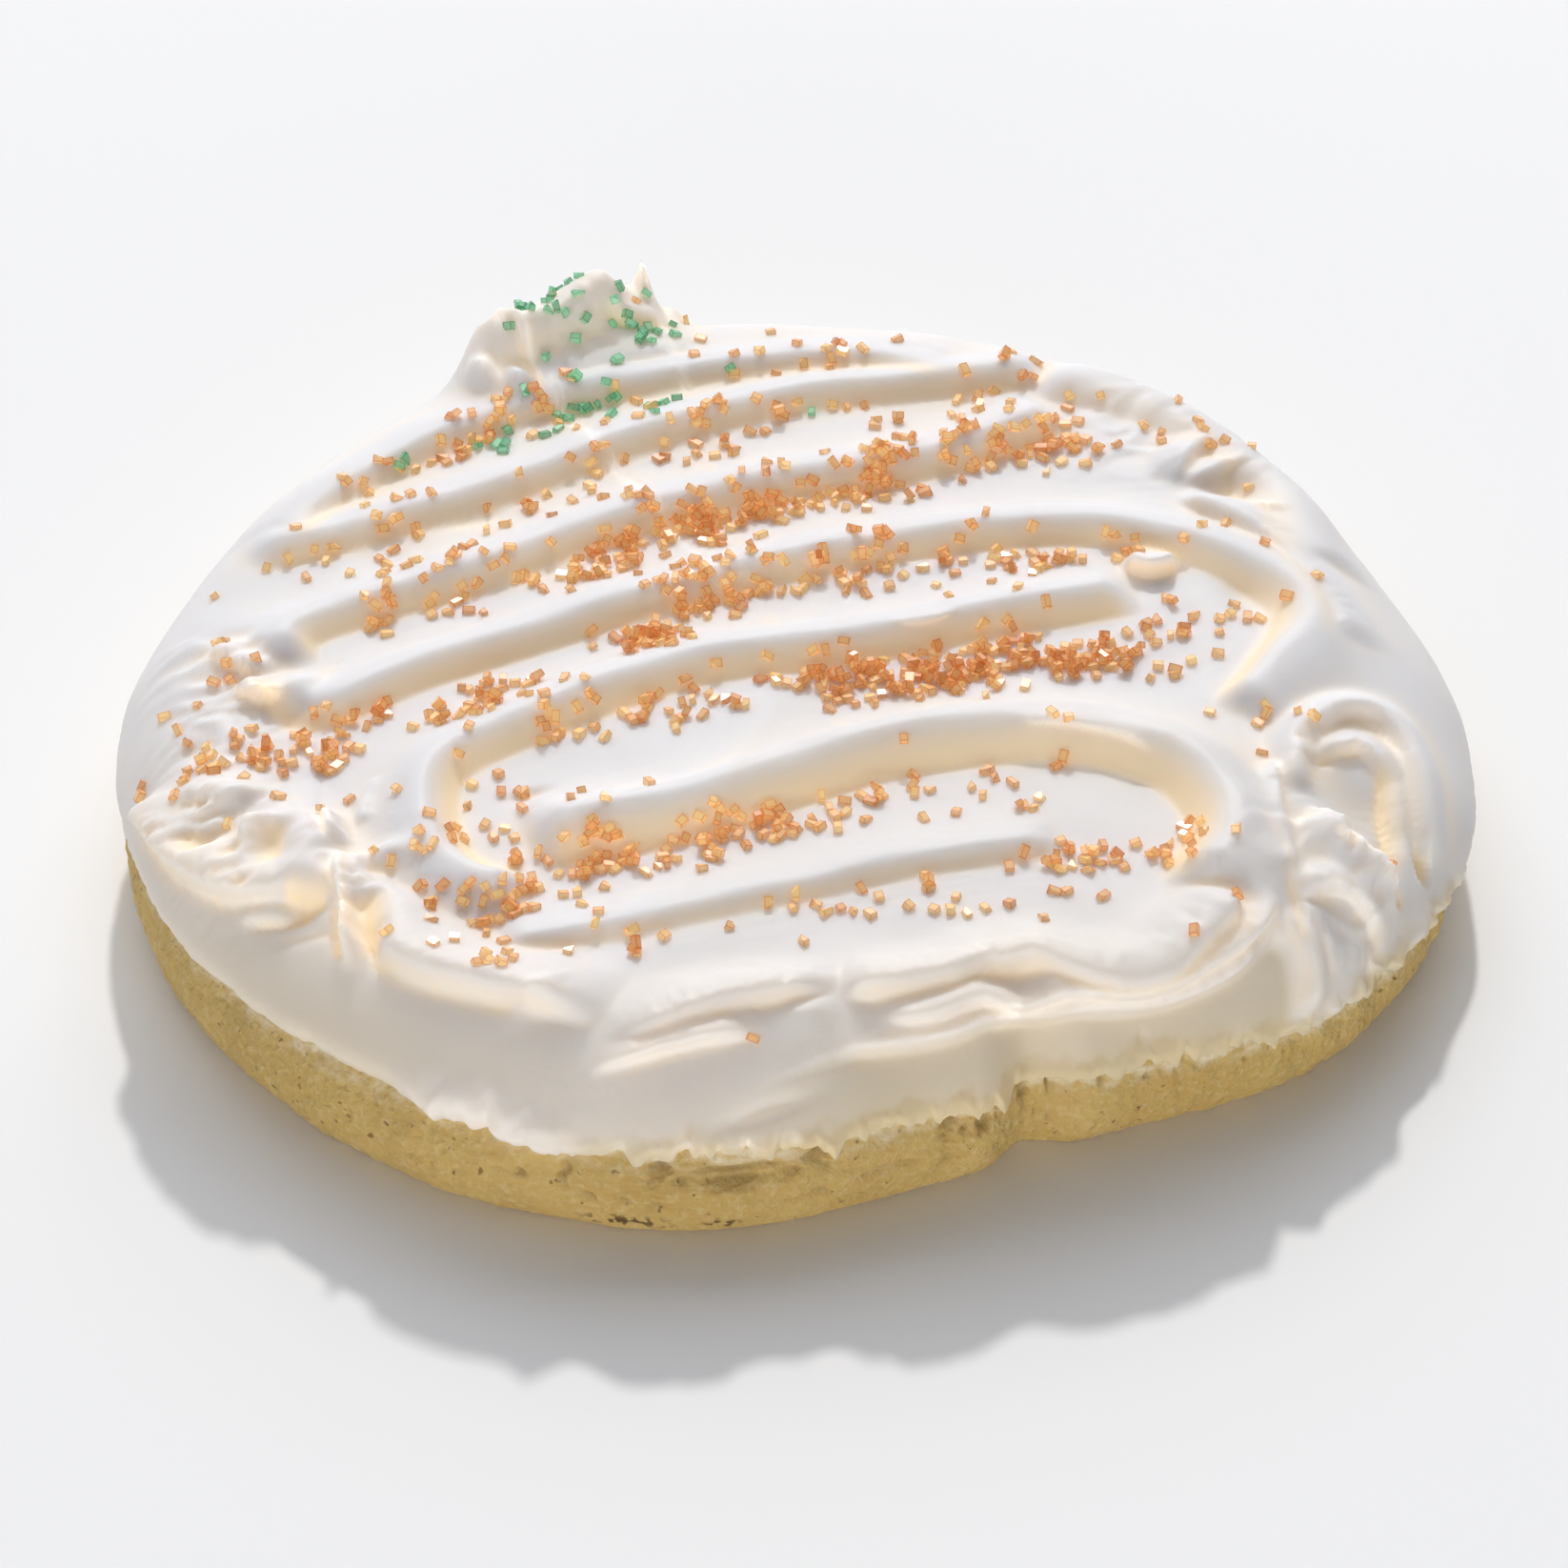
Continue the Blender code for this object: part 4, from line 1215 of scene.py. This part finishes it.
ORANGE_DRIFTS = drifts(
    (-24, 31, -19, 32, 1.5, 8), (-16, 33.5, -11, 35.2, 1.6, 18), (-10, 35.4, -5, 35.8, 1.6, 14),
    (-4, 35.5, 3, 35.5, 1.6, 5), (6, 35, 12, 35, 1.5, 6), (12, 33.8, 17.5, 33, 1.6, 6),
    (18, 34.2, 22, 34.5, 1.6, 4), (-22, 26.5, -17, 26, 2.2, 10), (-14, 24.5, -9, 25.5, 2.4, 12),
    (-7, 27, -3, 28, 1.8, 8), (-6, 23.5, -4, 20.8, 1.4, 5), (-1, 26.5, 5, 26, 2.2, 9),
    (2, 28, 9, 28.5, 1.8, 12), (9, 28, 12, 28, 1.4, 7), (14, 28, 19, 26, 2.4, 7),
    (21, 26.5, 30, 26, 2.4, 9), (20, 20.5, 29, 24, 3.2, 9), (-28, 16.5, -20, 17, 1.8, 15),
    (-20, 17, -13, 17, 2.0, 26), (-12, 17.2, -4, 17.6, 2.2, 46), (-3, 17.8, 2, 18.2, 2.0, 46),
    (3, 18, 9, 18.4, 1.9, 44), (10, 18.2, 16, 18.2, 2.2, 40), (16, 18, 23, 18, 2.8, 34),
    (23, 17.5, 31, 18.5, 3.6, 30), (28, 15.5, 38, 16, 2.2, 8), (-33, 6, -25, 5.5, 2.2, 16),
    (-25, 3.9, -15, 3.3, 2.2, 36), (-12, 7.5, -7, 6.9, 2.0, 38), (-6, 9.6, 0, 9.8, 1.9, 46),
    (0.5, 8.8, 6, 8.8, 2.2, 17), (7, 8.5, 13, 8.5, 2.2, 28), (15, 7.6, 20, 6.6, 2.2, 18),
    (20, 6, 26, 3.6, 2.2, 16), (14, 2.8, 17, 2.4, 1.5, 4), (-42, 6, -38, 4, 2.0, 28),
    (-38, 4.5, -33.5, 2.8, 2.0, 24), (-41.5, 11.5, -40.5, 12.5, 0.8, 3),
    (-38, 15.5, -33, 15, 2.2, 6), (-21, -0.5, -14, -1, 1.8, 15), (-13, -0.5, -7.5, -2.5, 2.2, 19),
    (-7, -1, 0, -2.2, 1.8, 13), (0, -3, 6, -4, 2.5, 54), (6, -4.2, 11, -5, 2.6, 58),
    (11, -5, 15, -5.2, 2.4, 32), (13, -2, 18, -3, 1.8, 9), (16, -6, 20, -7, 2.2, 36),
    (20, -7, 24, -7.6, 2.0, 22), (24, -6, 28.5, -7, 1.8, 11), (28, -2, 29, -2.5, 1.2, 3),
    (31, -6, 35, -6, 1.8, 7), (23.5, -11, 24.5, -11, 1.2, 3), (-26, -5, -22, -5, 1.8, 7),
    (-27, -9, -26, -11, 1.4, 7), (-18.5, -4.5, -17.5, -11.5, 1.2, 3),
    (-25.5, -13, -22, -13.5, 1.4, 7), (-22, -15, -14, -17.5, 3.2, 44),
    (-13.5, -15.5, -9, -16, 1.8, 24), (-8.5, -15.5, -4, -17.5, 1.8, 19),
    (-3, -16, 3, -17, 2.6, 13), (3, -19.5, 4, -19.5, 0.8, 2), (7, -17, 9, -17, 1.4, 6),
    (13, -17, 14, -17, 1.2, 3), (7, -20.5, 8, -20.5, 0.8, 2), (-33, -10, -29, -10, 1.4, 8),
    (-33.5, -16.5, -25.5, -17.5, 3.0, 32), (-33, -21.5, -29, -22.5, 1.8, 10),
    (-36.5, -17.5, -35.5, -17.5, 0.8, 2), (-25, -21.5, -17, -24, 3.4, 8),
    (-17, -23.5, -8, -26.5, 3.4, 8), (-6, -26.5, 0, -28, 2.6, 9), (0, -28, 6, -30.5, 2.6, 8),
    (7, -27, 9.5, -27, 1.8, 9), (10.5, -27.5, 15, -28, 2.6, 16), (14, -28, 19, -28.5, 2.6, 12),
    (-31, 26, -26, 25.5, 1.4, 7), (-26.5, 21, -21.5, 23, 1.4, 6), (-45, 8.5, -44, 6, 0.8, 3),
    (-45, 3.5, -42, 3, 0.8, 4), (36, 18.5, 38, 18.5, 0.8, 2), (36, 12, 40, 12, 1.2, 3),
    (28, 3, 32, 4, 1.2, 4), (30.5, -17.5, 27, -22, 0.8, 6))
GREEN_DRIFTS = drifts(
    (-7, 43, -3.5, 43.2, 0.8, 12), (-1.5, 45, 3, 45.5, 1.2, 7), (-1.5, 42, 0, 42.4, 0.6, 3),
    (2.5, 42.4, 4, 42, 0.6, 5), (4.5, 41.2, 8, 41.6, 0.8, 8), (-4.5, 39.5, -3, 39.8, 0.5, 2),
    (-9.5, 33.8, -4, 34.4, 1.4, 14), (-3, 34.6, 3.5, 34.6, 1.4, 12), (8, 35, 8.6, 35, 0.4, 1),
    (-18.2, 32.5, -17.8, 32.5, 0.5, 2), (11.8, 28, 12.2, 28, 0.4, 1))
LONE_CRYSTALS: tuple[tuple[float, float], ...] = (
    (4.5, 43.5), (-1.8, 44.4), (8.2, 42.4), (13.5, 38.5), (33, 21), (35, 3), (36, -0.5),
    (37.5, -5), (38.5, 8), (25, -16), (13.5, -14.5), (3, -12.5), (30.8, -31), (20, -31),
    (17.5, -35.6), (13.4, -37.6), (-17, -34.3), (-42.5, -2), (-37, -4), (-31.5, -4), (-35, 1.5),
    (-35, 24), (11, 21.5), (-35.4, 1.6), (-39.4, -1.2), (-34.6, -2.6))


@dataclass
class SugarScatter:
    """Crystals of one colour, lying on the icing in drifts and small heaps."""

    colour: SugarColour
    drifts: tuple[Drift, ...]
    finish: SandingSugar
    seed: int
    strays: tuple[tuple[float, float], ...] = ()
    length: tuple[float, float] = (0.6, 1.0)
    width: tuple[float, float] = (0.44, 0.64)
    clump_spread: float = 1.35
    touching: float = 0.55
    most_touching: int = 2

    def crystal(self, cut: float) -> tuple[Array, list[tuple[int, ...]], Array]:
        """Model one blocky crystal of unit size.

        Args:
            cut: How much of a corner is broken off, 0 for none.

        Returns:
            Its points, its faces, and which points are on a rim, where the colour is painted
            deeper as the edge of tinted glass looks.
        """
        deselect()
        bpy.ops.mesh.primitive_cube_add(size=1.0)
        piece = bpy.context.active_object
        bpy.ops.object.mode_set(mode="EDIT")
        bpy.ops.mesh.select_all(action="SELECT")
        bpy.ops.mesh.inset(thickness=0.17, use_individual=True)
        bpy.ops.mesh.select_all(action="SELECT")
        if cut > 0:
            bpy.ops.mesh.bisect(plane_co=(0.5 - cut, 0.5 - cut, 0.3), plane_no=(0.8, 0.6, 0.5),
                                use_fill=True, clear_outer=True)
        bpy.ops.object.mode_set(mode="OBJECT")
        points = read_points(piece)
        faces = [tuple(face.vertices) for face in piece.data.polygons]
        bpy.data.objects.remove(piece, do_unlink=True)
        rim = (np.sort(np.abs(points), axis=1)[:, 1] > 0.4).astype(float)
        return points, faces, rim

    def places(self, draw: np.random.Generator) -> list[tuple[float, float]]:
        """Points of the spread-out plane where crystals lie, in clumps along the drifts."""
        out: list[tuple[float, float]] = list(self.strays)
        for drift in self.drifts:
            run = np.subtract(drift.end, drift.start)
            length = float(np.hypot(*run))
            across = np.array([-run[1], run[0]]) / length
            crowd = drift.count / max(length, 1.0)
            left = drift.count
            while left > 0:
                size = min(left, 1 + int(draw.poisson(min(0.5 * crowd, 3.5))))
                heap = np.add(drift.start, run * draw.uniform(0, 1)) \
                    + across * draw.uniform(-0.5, 0.5) * drift.width
                for _ in range(size):
                    out.append(tuple(heap + draw.normal(0, self.clump_spread, 2)))
                left -= size
        return out

    def build(self, icing: bpy.types.Object) -> bpy.types.Object:
        """Lay the crystals on the icing.

        Args:
            icing: Finished icing that carries them.

        Returns:
            One mesh with all crystals of this colour.
        """
        draw = np.random.default_rng(self.seed)
        kinds = [self.crystal(0.0), self.crystal(0.0), self.crystal(0.18), self.crystal(0.34)]
        tree = BVHTree.FromObject(icing, bpy.context.evaluated_depsgraph_get())
        points: list[Array] = []
        faces: list[tuple[int, ...]] = []
        dye_and_edge_shade: list[Array] = []
        taken: list[Vector] = []
        first = 0
        for x, y in self.places(draw):
            spot = self.drop(tree, x, y)
            if spot is None:
                continue
            place, normal = spot
            crowd = sum((place - other).length < self.touching * MM for other in taken)
            if crowd > self.most_touching:
                continue
            taken.append(place)
            shape, sides, rim = kinds[int(draw.integers(len(kinds)))]
            size = np.array([draw.uniform(*self.length), draw.uniform(*self.width),
                             draw.uniform(*self.width) * 0.85]) * MM
            tilt = 0.22 + 0.35 * min(crowd, 2)
            turn = (normal.to_track_quat("Z", "Y").to_matrix()
                    @ Matrix.Rotation(draw.uniform(0, math.tau), 3, "Z")
                    @ Matrix.Rotation(draw.normal(0, tilt), 3, "X")
                    @ Matrix.Rotation(draw.normal(0, tilt), 3, "Y"))
            centre = place + normal * float(size[2]) * (0.30 + 0.55 * crowd)
            points.append((shape * size) @ np.array(turn).T + np.array(centre))
            faces += [tuple(first + k for k in side) for side in sides]
            first += len(shape)
            # Each crystal's depth of colour varies at random and is deeper in heaps; its rims are
            # painted deeper, as tinted glass looks at its edges.
            depth = np.clip(draw.normal(0.22, 0.15) + 0.10 * crowd, 0.0, 0.9)
            dye_and_edge_shade.append(np.clip(depth + 0.6 * rim, 0.0, 1.0))
        return self.dress(np.vstack(points), faces, np.concatenate(dye_and_edge_shade), len(taken))

    @staticmethod
    def drop(tree: BVHTree, x: float, y: float) -> tuple[Vector, Vector] | None:
        """Drop a point of the spread-out plane on the icing."""
        bearing = np.array([math.degrees(math.atan2(y, x)) % 360.0])
        start = PLAN.lift(bearing, np.array([math.hypot(x, y)]), 2.0)[0] * MM
        place, normal, _, _ = tree.ray_cast(Vector((start[0], start[1], 0.04)), Vector((0, 0, -1)))
        return None if place is None else (place, normal)

    def dress(self, points: Array, faces: list[tuple[int, ...]], dye_and_edge_shade: Array,
              count: int) -> bpy.types.Object:
        """Make the mesh and give it its finish."""
        mesh = bpy.data.meshes.new(f"sugar_{self.colour.value}")
        mesh.from_pydata(points.tolist(), [], faces)
        piece = bpy.data.objects.new(mesh.name, mesh)
        bpy.context.scene.collection.objects.link(piece)
        keep_on_points(piece, "dye_and_edge_shade", dye_and_edge_shade)
        mesh.materials.append(self.finish.make())
        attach(piece, "root")
        LOG.info("%s sugar: %d crystals", self.colour.value, count)
        return piece


@dataclass(frozen=True)
class Softbox:
    """Rectangular softbox: sides and distance in metres, and the way it hangs in degrees."""

    name: str
    sides: tuple[float, float]
    watts: float
    azimuth: float
    elevation: float
    distance: float


@dataclass
class Studio:
    """White floor, light from high behind, pale surroundings and the camera."""

    floor_colour: str = "#FCFCFC"
    floor_roughness: float = 0.6
    camera_azimuth: float = -22.0
    camera_elevation: float = 39.0
    camera_distance: float = 500.0
    target: tuple[float, float, float] = (-1.885, -9.645, 8.0)
    picture: int = 1646
    pixels_per_mm: float = 14.75
    key_strength: float = 1.5
    key_size: float = 3.0
    key_colour: str = "#FFFCF8"
    key_azimuth: float = 157.0
    key_elevation: float = 37.0
    softboxes: tuple[Softbox, ...] = (Softbox("backdrop", (1.5, 1.1), 7.2, 160.0, 42.0, 1.3),
                                      Softbox("front_card", (1.2, 0.22), 4.9, -22.0, 7.5, 0.9))
    sky_colour: str = "#EFF4FF"
    sky_front: float = 0.09
    sky_back: float = 0.8

    def build(self) -> None:
        """Set up floor, lights and camera."""
        self.lay_floor()
        self.hang_lights()
        self.colour_sky()
        self.place_camera()
        bpy.context.scene.view_settings.view_transform = "Standard"

    def lay_floor(self) -> None:
        """Lay one large pale floor."""
        deselect()
        bpy.ops.mesh.primitive_plane_add(size=8.0)
        floor = bpy.context.active_object
        floor.name = "floor"
        material, tree, shader = start_material("matt_white_board")
        connect(tree, shader, Base_Color=linear(self.floor_colour), Roughness=self.floor_roughness)
        floor.data.materials.append(material)

    @staticmethod
    def put(data: bpy.types.Light | bpy.types.Camera, azimuth: float, elevation: float,
            distance: float) -> bpy.types.Object:
        """Put a lamp or the camera where it faces the cookie.

        Args:
            data: The lamp or the camera.
            azimuth: Degrees round the cookie, 0 for the front and 90 for the right.
            elevation: Degrees up.
            distance: Metres from the middle of the cookie's base.

        Returns:
            The object in the scene.
        """
        azimuth, elevation = math.radians(azimuth), math.radians(elevation)
        way = Vector((math.sin(azimuth) * math.cos(elevation),
                      -math.cos(azimuth) * math.cos(elevation), math.sin(elevation)))
        item = bpy.data.objects.new(data.name, data)
        bpy.context.scene.collection.objects.link(item)
        item.location = way * distance
        item.rotation_euler = way.to_track_quat("Z", "Y").to_euler()
        return item

    def hang_lights(self) -> None:
        """Hang the key high behind, the large softbox above it and the low card in front."""
        key = bpy.data.lights.new("key", "SUN")
        key.energy = self.key_strength
        key.angle = math.radians(self.key_size)
        key.color = linear(self.key_colour)[:3]
        self.put(key, self.key_azimuth, self.key_elevation, 1.0)
        for box in self.softboxes:
            light = bpy.data.lights.new(box.name, "AREA")
            light.shape = "RECTANGLE"
            light.size, light.size_y = box.sides
            light.energy = box.watts
            self.put(light, box.azimuth, box.elevation, box.distance)

    def colour_sky(self) -> None:
        """Surround the cookie with a pale sky, brighter behind it than in front."""
        world = bpy.data.worlds.new("pale_surroundings")
        world.use_nodes = True
        tree = world.node_tree
        way = add_node(tree, "ShaderNodeTexCoord", output="Generated")
        depth = add_node(tree, "ShaderNodeSeparateXYZ", output="Y", Vector=way)
        strength = add_node(tree, "ShaderNodeMapRange", Value=depth, From_Min=-0.2, From_Max=0.9,
                            To_Min=self.sky_front, To_Max=self.sky_back)
        connect(tree, tree.nodes["Background"], Color=linear(self.sky_colour), Strength=strength)
        bpy.context.scene.world = world

    def place_camera(self) -> None:
        """Stand the camera where the photograph was taken from."""
        data = bpy.data.cameras.new("camera")
        data.sensor_width = 36.0
        data.lens = data.sensor_width * self.pixels_per_mm * self.camera_distance / self.picture
        data.clip_start, data.clip_end = 0.02, 20.0
        camera = self.put(data, self.camera_azimuth, self.camera_elevation,
                          self.camera_distance * MM)
        camera.location += Vector(self.target) * MM
        bpy.context.scene.camera = camera


def main() -> None:
    """Build every piece in order."""
    logging.basicConfig(level=logging.INFO, format="%(message)s")
    biscuit = Biscuit().build()
    LOG.info("biscuit: %d faces", len(biscuit.data.polygons))
    icing = Icing().build()
    LOG.info("icing: %d faces", len(icing.data.polygons))
    SugarScatter(SugarColour.ORANGE, ORANGE_DRIFTS,
                 SandingSugar("orange_sanding_sugar", "#FFDC96", "#D0680C"), 41,
                 LONE_CRYSTALS).build(icing)
    SugarScatter(SugarColour.GREEN, GREEN_DRIFTS,
                 SandingSugar("green_sanding_sugar", "#8FDDB0", "#0F7440"), 42).build(icing)
    Studio().build()
    LOG.info("studio: floor, lights and camera")


if __name__ == "__main__":
    main()
